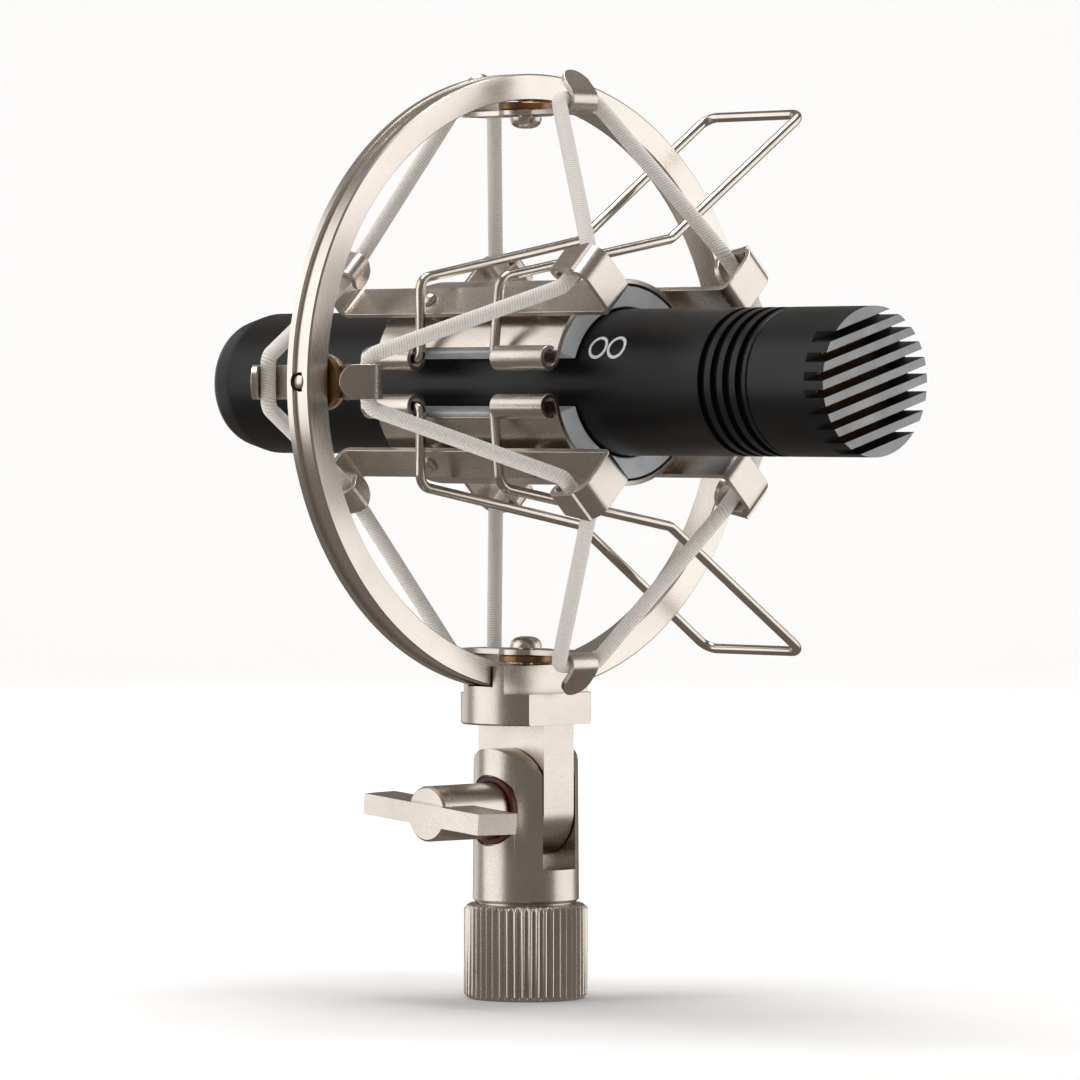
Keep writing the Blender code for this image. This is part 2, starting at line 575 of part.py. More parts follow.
def main():
    for obj in list(bpy.data.objects):
        bpy.data.objects.remove(obj)
    add_thread_collar()
    add_swivel_fork()
    add_pan_retainer()
    add_pivot()
    add_ring_stem()
    add_suspension_ring()
    for side, degrees in HOOK_ANGLES.items():
        add_hook_plate(side, degrees)
    add_clamp()
    for corner, degrees in CORNERS.items():
        add_strip(corner, degrees)
    add_elastic("front_elastic", -1)
    add_elastic("rear_elastic", 1)
    add_handle("upper_handle", 1)
    add_handle("lower_handle", -1)
    add_head_grille()
    add_barrel()
    add_tail()
    add_motor()
    add_electronics()


main()
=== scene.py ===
"""Looks of the ribbon microphone in its elastic shock mount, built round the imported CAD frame.

Every visible CAD node is replaced by a finer piece in the same place, and the hidden inner nodes
keep their CAD shape and get a material. Lengths are in millimetres and become metres in add_object.
A lathe profile is a closed list of (radius, height along its axis). A name ending in _Z or _Y is a
height or a place along the microphone, and one ending in _R is a radius.
"""

import json
import math

import bmesh
import bpy
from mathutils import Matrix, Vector


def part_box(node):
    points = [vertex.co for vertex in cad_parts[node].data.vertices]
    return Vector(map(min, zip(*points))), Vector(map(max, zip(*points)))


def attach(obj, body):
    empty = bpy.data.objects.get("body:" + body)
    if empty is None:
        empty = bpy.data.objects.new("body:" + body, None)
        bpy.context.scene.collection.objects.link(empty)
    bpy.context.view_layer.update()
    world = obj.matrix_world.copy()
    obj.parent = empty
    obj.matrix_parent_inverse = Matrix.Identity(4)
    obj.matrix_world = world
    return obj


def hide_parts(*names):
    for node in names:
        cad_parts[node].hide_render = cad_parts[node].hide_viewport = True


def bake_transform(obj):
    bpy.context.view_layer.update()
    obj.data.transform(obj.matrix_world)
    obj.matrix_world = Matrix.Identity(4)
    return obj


MM = 0.001
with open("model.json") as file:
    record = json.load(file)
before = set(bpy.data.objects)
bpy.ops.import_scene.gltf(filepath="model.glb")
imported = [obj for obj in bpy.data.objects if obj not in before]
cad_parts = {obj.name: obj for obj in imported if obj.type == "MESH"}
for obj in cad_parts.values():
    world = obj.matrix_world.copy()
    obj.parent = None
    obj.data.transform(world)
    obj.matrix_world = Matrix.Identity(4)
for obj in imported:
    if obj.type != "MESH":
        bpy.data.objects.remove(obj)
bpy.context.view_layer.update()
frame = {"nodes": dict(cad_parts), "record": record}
RECORD = frame["record"]
BODY_OF = {node: body for body, nodes in RECORD["behaviour"]["bodies"].items() for node in nodes}
SLOT_OF = {part["node"]: part["material_slot"] for part in RECORD["subparts"]}


def in_mm(node):
    """Lowest and highest corners of a CAD node, in millimetres."""
    return [[value / MM for value in corner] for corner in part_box(node)]


# ---------------------------------------------------------------- sizes read from the frame
ring_low, ring_high = in_mm("suspension_ring")
RING_OUT = (ring_high[0] - ring_low[0]) / 2
RING_HALF = (ring_high[1] - ring_low[1]) / 2
RING_HEIGHT = (ring_high[2] + ring_low[2]) / 2
RING_IN = RING_OUT - 4.4
COLLAR_R = in_mm("thread_collar")[1][0]
COLLAR_TOP = in_mm("thread_collar")[1][2]
BARREL_R = in_mm("swivel_fork")[1][0]
BLOCK_R = in_mm("ring_stem")[1][0]
MIC_R = in_mm("barrel")[1][0]
MIC_FRONT = in_mm("head_grille")[0][1]
MIC_SEAM = in_mm("barrel")[1][1]
MIC_TAIL = in_mm("tail_sleeve")[1][1]
SHELL_FRONT, SHELL_REAR = in_mm("clamp_shell")[0][1], in_mm("clamp_shell")[1][1]
STRIP_FRONT = in_mm("cradle_strip_upper_left")[0][1]
STRIP_REAR = in_mm("cradle_strip_upper_left")[1][1]

# Sizes that the frame's boxes don't show
# Stand base: knurl, fork, pivot and the block that holds the ring
KNURL_RIDGES = 50
KNURL_DEPTHS = [0.0, 0.05, 0.16, 0.33, 0.5, 0.55, 0.5, 0.33, 0.16, 0.05]
PIVOT_Z, PIVOT_BORE_R = 32.0, 2.75
FORK_TOP_Z, FORK_TOP_R, FORK_SLOT_Z = 33.0, 9.4, 22.0
HUB_RECESS_R, HEAD_RECESS_R = 6.0, 3.4
SLOT_HALF, TONGUE_HALF, TONGUE_R = 3.8, 3.5, 8.0
BLOCK_BOTTOM, SEAT_Z, WALL_TOP = 46.4, 51.7, 56.4
BLOCK_FLAT, WALL_HALF = 8.3, 4.9
WING_TURN, WING_HALF_THICK = 5.0, 1.75
WING_OUTLINE = ((-14.0, -24.35), (14.0, -24.35), (15.0, -16.5), (-15.0, -16.5))
# Cradle: liner, spring shell, its rolled knuckles, strips and rivets
LINER_IN, LINER_OUT, LINER_OPENING = 12.5, 16.1, 18.0
SHELL_IN, SHELL_OUT = 16.4, 17.2
KNUCKLE, KNUCKLE_R, SHEET = (-18.06, 4.0), 1.7, 0.8
KNUCKLE_GAP = (-12.2, 7.7)
STRIP_IN, STRIP_THICK, STRIP_WIDTH = 18.6, 0.9, 6.3
HOOK_R, RETURN_LENGTH, HOOK_HALF = 28.8, 9.5, 2.3
RIVET_Y, RIVET_R = (9.3, -16.0), 1.7
# Ring hooks and elastics
PLATE_IN, PLATE_THICK, HOOK_CORD_Y = 45.0, 0.9, -12.2
HOOK_TIP, HOOK_ARM = (-10.5, 52.2), 2.85
SPACER_R = 4.6
CORD_R, WIRE_R = 1.3, 0.85
CRADLE_CORD_R, CRADLE_CORD_INSET = 26.35, 5.2
RIB_PITCH, RIB_STARTS, RIB_DEPTH = 0.46, 4, 0.04
# Microphone
HEAD_SEAM, SPIGOT_R, BORE_R = -64.05, 10.95, 11.25
GROOVES, GROOVE_HALF, GROOVE_DEPTH = (-53.55, -56.4, -59.2, -62.05), 0.8, 0.75
BAR_SLOTS, BAR_PITCH, BAR_SLOT, BAR_TURN, BAR_DEPTH = 8, 2.75, 1.35, 16.0, 4.2
SCREEN_Y, SCREEN_PITCH, SCREEN_WIRE_R, SCREEN_R, SCREEN_RISE = -76.1, 0.62, 0.13, 8.85, 0.55
MARK_Y, MARK_ANGLE, MARK_R, MARK_HALF_LINE, MARK_RAISED = -30.6, 152.0, 1.8, 0.27, 0.03
HOOK_ANGLES = {"right": 0.0, "top": 90.0, "left": 180.0, "bottom": 270.0}
CORNERS = {"upper_right": 45.0, "upper_left": 135.0, "lower_left": 225.0, "lower_right": 315.0}


# ---------------------------------------------------------------- materials
class Finish:
    """A node material under construction: a Principled shader and short calls for its textures."""

    def __init__(self, name, colour, metallic, roughness, **sockets):
        self.material = bpy.data.materials.new(name)
        self.material.use_nodes = True
        self.material.diffuse_color = (*colour, 1)
        self.tree = self.material.node_tree
        self.shader = self.tree.nodes["Principled BSDF"]
        self.shader.inputs["Base Color"].default_value = (*colour, 1)
        self.shader.inputs["Metallic"].default_value = metallic
        self.shader.inputs["Roughness"].default_value = roughness
        for socket, value in sockets.items():
            self.shader.inputs[socket.replace("_", " ")].default_value = value
        self.coords = self.tree.nodes.new("ShaderNodeTexCoord")

    def node(self, kind, **values):
        made = self.tree.nodes.new("ShaderNode" + kind)
        for name, value in values.items():
            setattr(made, name, value)
        return made

    def link(self, output, target):
        self.tree.links.new(output, target)

    def noise(self, scale, detail=3.0, stretch=(1, 1, 1), source="Object"):
        """Noise in object space: scale is in features for each metre."""
        mapping = self.node("Mapping")
        mapping.inputs["Scale"].default_value = stretch
        self.link(self.coords.outputs[source], mapping.inputs["Vector"])
        noise = self.node("TexNoise")
        noise.inputs["Scale"].default_value = scale
        noise.inputs["Detail"].default_value = detail
        self.link(mapping.outputs["Vector"], noise.inputs["Vector"])
        return noise.outputs["Fac"]

    def remap(self, value, low, high, start=0.3, end=0.7):
        made = self.node("MapRange")
        for name, number in zip(("From Min", "From Max", "To Min", "To Max"), (start, end, low, high)):
            made.inputs[name].default_value = number
        self.link(value, made.inputs["Value"])
        return made.outputs["Result"]

    def colours(self, value, *stops):
        """A colour ramp: stops are (position, colour)."""
        ramp = self.node("ValToRGB")
        elements = ramp.color_ramp.elements
        for k, (position, colour) in enumerate(stops):
            element = elements[k] if k < 2 else elements.new(position)
            element.position, element.color = position, (*colour, 1)
        self.link(value, ramp.inputs["Fac"])
        self.link(ramp.outputs["Color"], self.shader.inputs["Base Color"])
        return ramp.outputs["Color"]

    def roughness(self, value, low, high, start=0.3, end=0.7):
        self.link(self.remap(value, low, high, start, end), self.shader.inputs["Roughness"])

    def bump(self, value, strength, depth_mm, after=None):
        made = self.node("Bump")
        made.inputs["Strength"].default_value = strength
        made.inputs["Distance"].default_value = depth_mm * MM
        self.link(value, made.inputs["Height"])
        if after:
            self.link(after, made.inputs["Normal"])
        self.link(made.outputs["Normal"], self.shader.inputs["Normal"])
        return made.outputs["Normal"]


def shade(colour, factor):
    return tuple(min(1.0, channel * factor) for channel in colour)


def satin_metal(name, colour, roughness, grain=0.5):
    """Bead-blasted and plated metal: cloudy tone, fine grain in the gloss and in the surface."""
    finish = Finish(name, colour, 1.0, roughness)
    cloud = finish.noise(90, 4)
    finish.colours(cloud, (0.3, shade(colour, 0.9)), (0.55, colour), (0.75, shade(colour, 1.06)))
    fine = finish.noise(5200, 2)
    finish.roughness(fine, roughness - 0.04, roughness + 0.07)
    finish.bump(fine, grain, 0.01)
    return finish.material


def turned_metal(name, colour, roughness):
    """Lathe-turned ring: fine concentric lines about the ring's own axis, over a satin plate."""
    finish = Finish(name, colour, 1.0, roughness)
    shift = finish.node("Mapping")
    shift.inputs["Location"].default_value = (0, 0, -RING_HEIGHT * MM)
    finish.link(finish.coords.outputs["Object"], shift.inputs["Vector"])
    flat = finish.node("VectorMath", operation="MULTIPLY")
    flat.inputs[1].default_value = (1, 0, 1)
    finish.link(shift.outputs["Vector"], flat.inputs[0])
    radius = finish.node("VectorMath", operation="LENGTH")
    finish.link(flat.outputs["Vector"], radius.inputs[0])
    split = finish.node("SeparateXYZ")
    finish.link(shift.outputs["Vector"], split.inputs["Vector"])
    both = finish.node("Math", operation="ADD")
    finish.link(radius.outputs["Value"], both.inputs[0])
    finish.link(split.outputs["Y"], both.inputs[1])
    lines = finish.node("TexNoise", noise_dimensions="1D")
    lines.inputs["Scale"].default_value = 9000
    lines.inputs["Detail"].default_value = 1
    finish.link(both.outputs["Value"], lines.inputs["W"])
    cloud = finish.noise(70, 4)
    finish.colours(cloud, (0.3, shade(colour, 0.92)), (0.7, shade(colour, 1.05)))
    finish.roughness(lines.outputs["Fac"], roughness - 0.02, roughness + 0.05)
    first = finish.bump(lines.outputs["Fac"], 0.08, 0.005)
    finish.bump(finish.noise(5000, 2), 0.35, 0.01, first)
    return finish.material


def drawn_wire(name, colour):
    finish = Finish(name, colour, 1.0, 0.22)
    streaks = finish.noise(2600, 2, (0.2, 1, 1))
    finish.colours(finish.noise(120, 3), (0.3, shade(colour, 0.9)), (0.7, shade(colour, 1.05)))
    finish.roughness(streaks, 0.17, 0.25)
    finish.bump(streaks, 0.12, 0.004)
    return finish.material


def anodised(name, colour, roughness=0.36, grain=0.55, level=0.42):
    """Bead-blasted anodising: a fine even grain, with faint handling marks in its gloss."""
    finish = Finish(name, colour, 0.3, roughness, Specular_IOR_Level=level)
    fine = finish.noise(4600, 3)
    marks = finish.noise(160, 5, (1, 0.3, 1))
    finish.colours(marks, (0.3, shade(colour, 0.8)), (0.7, shade(colour, 1.25)))
    blend = finish.node("Math", operation="MULTIPLY_ADD")
    finish.link(marks, blend.inputs[0])
    blend.inputs[1].default_value = 0.5
    finish.link(fine, blend.inputs[2])
    finish.roughness(blend.outputs["Value"], roughness - 0.05, roughness + 0.09, 0.5, 1.0)
    finish.bump(fine, grain, 0.014)
    return finish.material


def rubber(name, colour):
    finish = Finish(name, colour, 0.0, 0.5, Specular_IOR_Level=0.5)
    cloud = finish.noise(220, 5)
    finish.colours(cloud, (0.3, shade(colour, 0.86)), (0.7, shade(colour, 1.1)))
    fine = finish.noise(3800, 3)
    finish.roughness(fine, 0.42, 0.58)
    finish.bump(fine, 0.4, 0.015)
    return finish.material


def braid(name, colour):
    """Woven cotton cover of the elastic: slanting ribs of thread from the UV map, and fibres."""
    finish = Finish(name, colour, 0.0, 0.82, Sheen_Weight=0.3, Sheen_Roughness=0.5,
                    Specular_IOR_Level=0.25)
    split = finish.node("SeparateXYZ")
    finish.link(finish.coords.outputs["UV"], split.inputs["Vector"])
    lean = finish.node("Math", operation="MULTIPLY")
    finish.link(split.outputs["Y"], lean.inputs[0])
    lean.inputs[1].default_value = RIB_STARTS * 2 * math.pi
    phase = finish.node("Math", operation="MULTIPLY_ADD")
    finish.link(split.outputs["X"], phase.inputs[0])
    phase.inputs[1].default_value = 2 * math.pi / RIB_PITCH
    finish.link(lean.outputs["Value"], phase.inputs[2])
    wave = finish.node("Math", operation="COSINE")
    finish.link(phase.outputs["Value"], wave.inputs[0])
    fuzz = finish.noise(3600, 4)
    mixed = finish.node("Math", operation="MULTIPLY_ADD")
    finish.link(fuzz, mixed.inputs[0])
    mixed.inputs[1].default_value = 2.2
    finish.link(wave.outputs["Value"], mixed.inputs[2])
    # Colour: painted shade, darker in the valleys between the slanting ribs, mixed with a random fibre tone
    # from the noise
    finish.colours(finish.remap(mixed.outputs["Value"], 0, 1, -0.4, 2.4),
                   (0.0, shade(colour, 0.66)), (0.45, shade(colour, 0.96)), (1.0, shade(colour, 1.1)))
    finish.roughness(fuzz, 0.75, 0.92)
    finish.bump(mixed.outputs["Value"], 0.5, 0.04)
    return finish.material


def plain(name, colour, metallic, roughness, scale=900, grain=0.3, depth=0.02):
    """A small part's finish: mottled colour, uneven gloss and a light grain."""
    finish = Finish(name, colour, metallic, roughness)
    mottle = finish.noise(scale, 4)
    finish.colours(mottle, (0.3, shade(colour, 0.75)), (0.7, shade(colour, 1.2)))
    fine = finish.noise(scale * 4, 3)
    finish.roughness(fine, max(0.05, roughness - 0.08), roughness + 0.1)
    finish.bump(fine, grain, depth)
    return finish.material


NICKEL = (0.70, 0.64, 0.58)
MATERIALS = {
    "satin_nickel": satin_metal("satin_nickel", NICKEL, 0.29),
    "ring_nickel": turned_metal("ring_nickel", (0.75, 0.69, 0.63), 0.25),
    "wire_nickel": drawn_wire("wire_nickel", (0.68, 0.62, 0.55)),
    "bronze": plain("bronze", (0.28, 0.16, 0.07), 0.9, 0.34, 600),
    "black_anodised": anodised("black_anodised", (0.0065, 0.0065, 0.0068)),
    "grille_grey": anodised("grille_side", (0.0065, 0.0065, 0.0068)),
    "grille_front": anodised("grille_front", (0.28, 0.285, 0.29), 0.42, 0.7),
    # Near-black matte finish for the walls and floors of the barrel's grooves: painted shade in the grooves
    "groove_painted_shade": anodised("groove_painted_shade", (0.004, 0.004, 0.004), 0.6, 0.3, 0.1),
    "copper_mesh": plain("copper_mesh", (0.95, 0.52, 0.28), 1.0, 0.25, 2500, 0.2, 0.01),
    "liner_rubber": rubber("liner_rubber", (0.54, 0.555, 0.575)),
    "elastic": braid("elastic", (0.73, 0.69, 0.645)),
    "red_fibre": plain("red_fibre", (0.09, 0.012, 0.008), 0.0, 0.45, 1500, 0.5, 0.04),
    "black_plastic": plain("black_plastic", (0.02, 0.02, 0.021), 0.0, 0.42, 1200),
    "silver_pin": plain("silver_pin", (0.78, 0.76, 0.72), 1.0, 0.2, 1500, 0.15, 0.01),
    "magnet": plain("magnet", (0.5, 0.5, 0.51), 1.0, 0.28),
    "foil": plain("foil", (0.86, 0.86, 0.87), 1.0, 0.25, 3000),
    "iron_core": plain("iron_core", (0.16, 0.15, 0.15), 0.7, 0.5),
    "circuit_board": plain("circuit_board", (0.015, 0.12, 0.05), 0.0, 0.4),
    "white_ink": plain("white_ink", (0.72, 0.73, 0.74), 0.0, 0.55, 3000, 0.25, 0.01),
}


# ---------------------------------------------------------------- mesh tools
def add_object(name, points, faces, finish=None, angle=35):
    mesh = bpy.data.meshes.new(name)
    mesh.from_pydata([Vector(p) * MM for p in points], [], faces)
    shape = bmesh.new()
    shape.from_mesh(mesh)
    bmesh.ops.remove_doubles(shape, verts=shape.verts, dist=1e-7)
    bmesh.ops.recalc_face_normals(shape, faces=shape.faces)
    shape.to_mesh(mesh)
    shape.free()
    obj = bpy.data.objects.new(name, mesh)
    bpy.context.scene.collection.objects.link(obj)
    if finish:
        mesh.materials.append(MATERIALS[finish])
        smooth(obj, angle)
    return obj


def smooth(obj, angle=35):
    obj.data.shade_smooth()
    obj.data.set_sharp_from_angle(angle=math.radians(angle))


def boolean(obj, other, operation="DIFFERENCE"):
    """Applies an exact Boolean and removes the other shape."""
    modifier = obj.modifiers.new(operation, "BOOLEAN")
    modifier.operation, modifier.solver, modifier.object = operation, "EXACT", other
    bpy.context.view_layer.update()
    evaluated = obj.evaluated_get(bpy.context.evaluated_depsgraph_get())
    obj.data = bpy.data.meshes.new_from_object(evaluated)
    obj.modifiers.clear()
    bpy.data.objects.remove(other)
    if obj.data.materials:
        smooth(obj)
    return obj


def edge_break(obj, width, segments=2, angle=40):
    """Cleans a cut mesh and gives its sharp edges the small radius that a machined part has."""
    shape = bmesh.new()
    shape.from_mesh(obj.data)
    bmesh.ops.remove_doubles(shape, verts=shape.verts, dist=2e-6)
    bmesh.ops.dissolve_limit(shape, angle_limit=math.radians(0.4), verts=shape.verts, edges=shape.edges)
    shape.to_mesh(obj.data)
    shape.free()
    smooth(obj)
    bevel = obj.modifiers.new("edge break", "BEVEL")
    bevel.width, bevel.segments, bevel.limit_method = width * MM, segments, "ANGLE"
    bevel.angle_limit = math.radians(angle)
    bevel.harden_normals = True
    bevel.miter_outer = "MITER_ARC"
    return obj


def stand_in(obj, node):
    """The piece takes the CAD node's place and body."""
    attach(obj, BODY_OF[node])
    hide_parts(node)
    return obj


def place(origin, across, along, out):
    """A function that maps local (a, b, c) to the world."""
    o, a, b, c = (Vector(v) for v in (origin, across, along, out))
    return lambda p, q, r: o + a * p + b * q + c * r


def radial(degrees, y=0.0):
    """Local axes at an angle round the ring: tangent, along Y, and outward from its centre."""
    t = math.radians(degrees)
    tangent, outward = (math.sin(t), 0, -math.cos(t)), (math.cos(t), 0, math.sin(t))
    return place((0, y, RING_HEIGHT), tangent, (0, 1, 0), outward)


WORLD = place((0, 0, 0), (1, 0, 0), (0, 1, 0), (0, 0, 1))
ALONG_MIC = place((0, 0, RING_HEIGHT), (0, 0, 1), (1, 0, 0), (0, 1, 0))
PIVOT = place((0, 0, PIVOT_Z), (0, 1, 0), (0, 0, 1), (1, 0, 0))
SIDE = place((0, 0, RING_HEIGHT), (1, 0, 0), (0, 0, 1), (0, 1, 0))
THROUGH_X = place((0, 0, 0), (0, 1, 0), (0, 0, 1), (1, 0, 0))


def lathe(name, profile, where, finish=None, segments=96, cuts=None, phase=0.0):
    """Revolves a closed (radius, height) profile. cuts is a repeating list of depths for a knurl."""
    points, rings = [], []
    widest = max(r for r, _ in profile)
    for r, h in profile:
        if r < 1e-6:
            rings.append([len(points)] * segments)
            points.append(where(0, 0, h))
            continue
        rings.append(list(range(len(points), len(points) + segments)))
        for k in range(segments):
            t = 2 * math.pi * (k + phase) / segments
            local = min(r, widest - cuts[k % len(cuts)]) if cuts else r
            points.append(where(local * math.cos(t), local * math.sin(t), h))
    faces = []
    for first, second in zip(rings, rings[1:] + rings[:1]):
        for k in range(segments):
            m = (k + 1) % segments
            face = list(dict.fromkeys((first[k], first[m], second[m], second[k])))
            if len(face) > 2:
                faces.append(face)
    return add_object(name, points, faces, finish)


def prism(name, outline, low, high, where, finish=None):
    """Extrudes a closed (a, b) outline from low to high along the local third axis."""
    n = len(outline)
    points = [where(a, b, h) for h in (low, high) for a, b in outline]
    sides = [[k, (k + 1) % n, n + (k + 1) % n, n + k] for k in range(n)]
    return add_object(name, points, [list(range(n))[::-1], list(range(n, 2 * n)), *sides], finish)


def box(name, a, b, c, where=WORLD, finish=None):
    outline = [(a[0], b[0]), (a[1], b[0]), (a[1], b[1]), (a[0], b[1])]
    return prism(name, outline, c[0], c[1], where, finish)


def cylinder(name, r, low, high, where, segments=64, finish=None):
    return lathe(name, [(0, low), (r, low), (r, high), (0, high)], where, finish, segments, phase=0.37)


def arc(centre, r, start, end, steps):
    """Points of a circular arc in a plane, in degrees."""
    angles = [math.radians(start + (end - start) * k / steps) for k in range(steps + 1)]
    return [(centre[0] + r * math.cos(t), centre[1] + r * math.sin(t)) for t in angles]


def rounded(points, radius, steps=10, closed=False):
    """Rounds the corners of a polyline with arcs. A radius may be given for each point."""
    points = [Vector(p) for p in points]
    radii = radius if isinstance(radius, (list, tuple)) else [radius] * len(points)
    out = []
    for k, corner in enumerate(points):
        if not closed and k in (0, len(points) - 1):
            out.append(corner)
            continue
        before = (points[k - 1] - corner).normalized()
        after = (points[(k + 1) % len(points)] - corner).normalized()
        half = before.angle(after) / 2
        if radii[k] <= 0 or half > math.radians(89):
            out.append(corner)
            continue
        reach = radii[k] / math.tan(half)
        middle = corner + (before + after).normalized() * (radii[k] / math.sin(half))
        start, end = corner + before * reach - middle, corner + after * reach - middle
        turn = start.angle(end)
        for s in range(steps + 1):
            t = s / steps
            spoke = start * math.sin((1 - t) * turn) + end * math.sin(t * turn)
            out.append(middle + spoke / math.sin(turn))
    return out


def even_steps(path, step):
    """The same polyline with points a set distance apart."""
    out, carry = [path[0]], 0.0
    for a, b in zip(path, path[1:]):
        length = (b - a).length
        at = step - carry
        while at < length:
            out.append(a + (b - a) * (at / length))
            at += step
        carry = (carry + length) % step
    if (out[-1] - path[-1]).length > step * 0.3:
        out.append(path[-1])
    else:
        out[-1] = path[-1]
    return out


def tube(name, path, radius, sides, finish, ribs=None):
    """A round tube along a path. ribs(distance along, turn round) scales its radius."""
    path = [Vector(p) for p in path]
    n = len(path)
    ahead, behind = path[1:] + path[-1:], path[:1] + path[:-1]
    tangents = [(after - before).normalized() for before, after in zip(behind, ahead)]
    normal = tangents[0].orthogonal().normalized()
    distance = 0.0
    points, lengths = [], []
    for k in range(n):
        if k:
            normal = (tangents[k - 1].rotation_difference(tangents[k]) @ normal).normalized()
            distance += (path[k] - path[k - 1]).length
        lengths.append(distance)
        side = tangents[k].cross(normal)
        for s in range(sides):
            t = 2 * math.pi * s / sides
            r = radius * (ribs(distance, s / sides) if ribs else 1.0)
            points.append(path[k] + (normal * math.cos(t) + side * math.sin(t)) * r)
    faces = []
    for k in range(n - 1):
        for s in range(sides):
            u = (s + 1) % sides
            faces.append([k * sides + s, k * sides + u, (k + 1) * sides + u, (k + 1) * sides + s])
    faces += [list(range(sides))[::-1], list(range((n - 1) * sides, n * sides))]
    obj = add_object(name, points, faces, finish, 60)
    uv = obj.data.uv_layers.new(name="along")
    for polygon in obj.data.polygons:
        for corner in polygon.loop_indices:
            k, s = divmod(obj.data.loops[corner].vertex_index, sides)
            wrap = 1.0 if s == 0 and polygon.index % sides == sides - 1 else 0.0
            uv.data[corner].uv = (lengths[min(k, n - 1)], s / sides + wrap)
    return obj


def strip(name, stations, thickness, where, finish=None):
    """A bent sheet-metal strip. Stations are (along, out, half width) on its middle line."""
    line = [Vector((v, w)) for v, w, _ in stations]
    points = []
    for k, (v, w, half) in enumerate(stations):
        before, after = line[max(k - 1, 0)], line[min(k + 1, len(line) - 1)]
        run = (after - before).normalized()
        normal = Vector((-run.y, run.x))
        if 0 < k < len(line) - 1:
            normal /= max(0.5, math.cos((line[k] - before).angle(after - line[k]) / 2))
        for u, side in ((-half, -1), (half, -1), (half, 1), (-half, 1)):
            offset = normal * side * thickness / 2
            points.append(where(u, v + offset.x, w + offset.y))
    n = len(stations)
    faces = [[0, 1, 2, 3], [4 * n - 4, 4 * n - 1, 4 * n - 2, 4 * n - 3]]
    for k in range(n - 1):
        for s in range(4):
            t = (s + 1) % 4
            faces.append([4 * k + s, 4 * k + 4 + s, 4 * k + 4 + t, 4 * k + t])
    return add_object(name, points, faces, finish)


def round_tip(start, end, half, steps=12):
    """Stations for a half-round end, from the tip at start towards end."""
    start, run = Vector(start), (Vector(end) - Vector(start)).normalized()
    out = []
    for k in range(steps):
        t = math.radians(90 * (k + 0.35) / steps)
        p = start + run * half * (1 - math.cos(t))
        out.append((p.x, p.y, half * math.sin(t)))
    return out


# ---------------------------------------------------------------- swivel stand base
def make_collar():
    """Straight-knurled collar with its thread, as rings, in the bore."""
    pitch, minor, major = 0.94, 7.95, 8.3
    thread = []
    for k in range(11):
        z = 10.6 - k * pitch
        thread += [(minor, z), (major, z - 0.3), (major, z - 0.42), (minor, z - 0.72)]
    profile = [(minor + 0.5, 0), (COLLAR_R - 0.9, 0), (COLLAR_R - 0.45, 0.35), (COLLAR_R, 0.8),
               (COLLAR_R, COLLAR_TOP - 0.8), (COLLAR_R - 0.45, COLLAR_TOP - 0.3),
               (COLLAR_R - 0.9, COLLAR_TOP), (8.4, COLLAR_TOP), (8.4, 13.2), (4.9, 13.2),
               (4.9, 11.4), (minor, 11.4), *thread, (minor, 0.4)]
    segments = KNURL_RIDGES * len(KNURL_DEPTHS)
    collar = lathe("collar", profile, WORLD, "satin_nickel", segments, KNURL_DEPTHS)
    stand_in(collar, "thread_collar")


def make_fork():
    """Round fork on the collar: its foot turns in the collar, and its slot takes the tongue."""
    foot = 13.5
    fork = lathe(
        "fork",
        [(0, 9.4), (4.5, 9.4), (4.5, foot), (8.1, foot), (8.1, COLLAR_TOP + 0.3),
         (BARREL_R - 0.5, COLLAR_TOP + 0.3), (BARREL_R, COLLAR_TOP + 0.8), (BARREL_R - 0.2, 43), (0, 43)],
        WORLD, "satin_nickel", 144,
    )
    dome = arc((0, FORK_TOP_Z), FORK_TOP_R, 0, 180, 64)
    top = [(-12, 8), (12, 8), (12, PIVOT_Z), *dome, (-12, PIVOT_Z)]
    boolean(fork, prism("top", top, -12, 12, THROUGH_X), "INTERSECT")
    boolean(fork, box("slot", (-SLOT_HALF, SLOT_HALF), (-12, 12), (FORK_SLOT_Z, 50)))
    boolean(fork, cylinder("bore", PIVOT_BORE_R, -12, 12, PIVOT, 48))
    boolean(fork, cylinder("hub_recess", HUB_RECESS_R, -12, -7.4, PIVOT, 80))
    boolean(fork, cylinder("head_recess", HEAD_RECESS_R, 7.6, 12, PIVOT, 56))
    boolean(fork, cylinder("screw_hole", 1.6, 5, 12.0, WORLD, 24))
    stand_in(edge_break(fork, 0.28, 3), "swivel_fork")


def make_pivot():
    """Screw that keeps the fork in the collar, the pivot bolt and its red fibre washer."""
    keeper = lathe(
        "keeper_screw",
        [(0, 7.4), (2.4, 7.4), (2.9, 7.6), (3.0, 7.8), (3.0, 8.4), (6.2, 8.4), (6.4, 8.6), (6.4, 9.0),
         (6.2, 9.1), (1.35, 9.1), (1.35, 11.6), (0, 11.6)],
        WORLD, "satin_nickel", 64,
    )
    hexagon = arc((0, 0), 1.5, 0, 300, 5)
    boolean(keeper, prism("socket", hexagon, 7.0, 8.3, WORLD))
    stand_in(keeper, "pan_retainer")

    bolt = lathe(
        "pivot_bolt_head",
        [(0, -20), (2.3, -20), (2.45, -19.7), (2.45, 7.9), (3.1, 7.9), (3.1, 8.6), (2.9, 8.9),
         (2.6, 9.0), (0, 9.0)],
        PIVOT, "satin_nickel", 64,
    )
    boolean(bolt, box("slot", (-0.4, 0.4), (-4, 4), (8.3, 10), PIVOT))
    stand_in(edge_break(bolt, 0.06), "pivot_bolt")

    washer = lathe(
        "red_washer",
        [(4.9, -8.3), (5.0, -8.4), (5.6, -8.4), (5.7, -8.3), (5.7, -7.6), (2.8, -7.6), (2.8, -7.9),
         (4.9, -7.9)],
        PIVOT, "red_fibre", 72,
    )
    stand_in(washer, "fibre_washer")


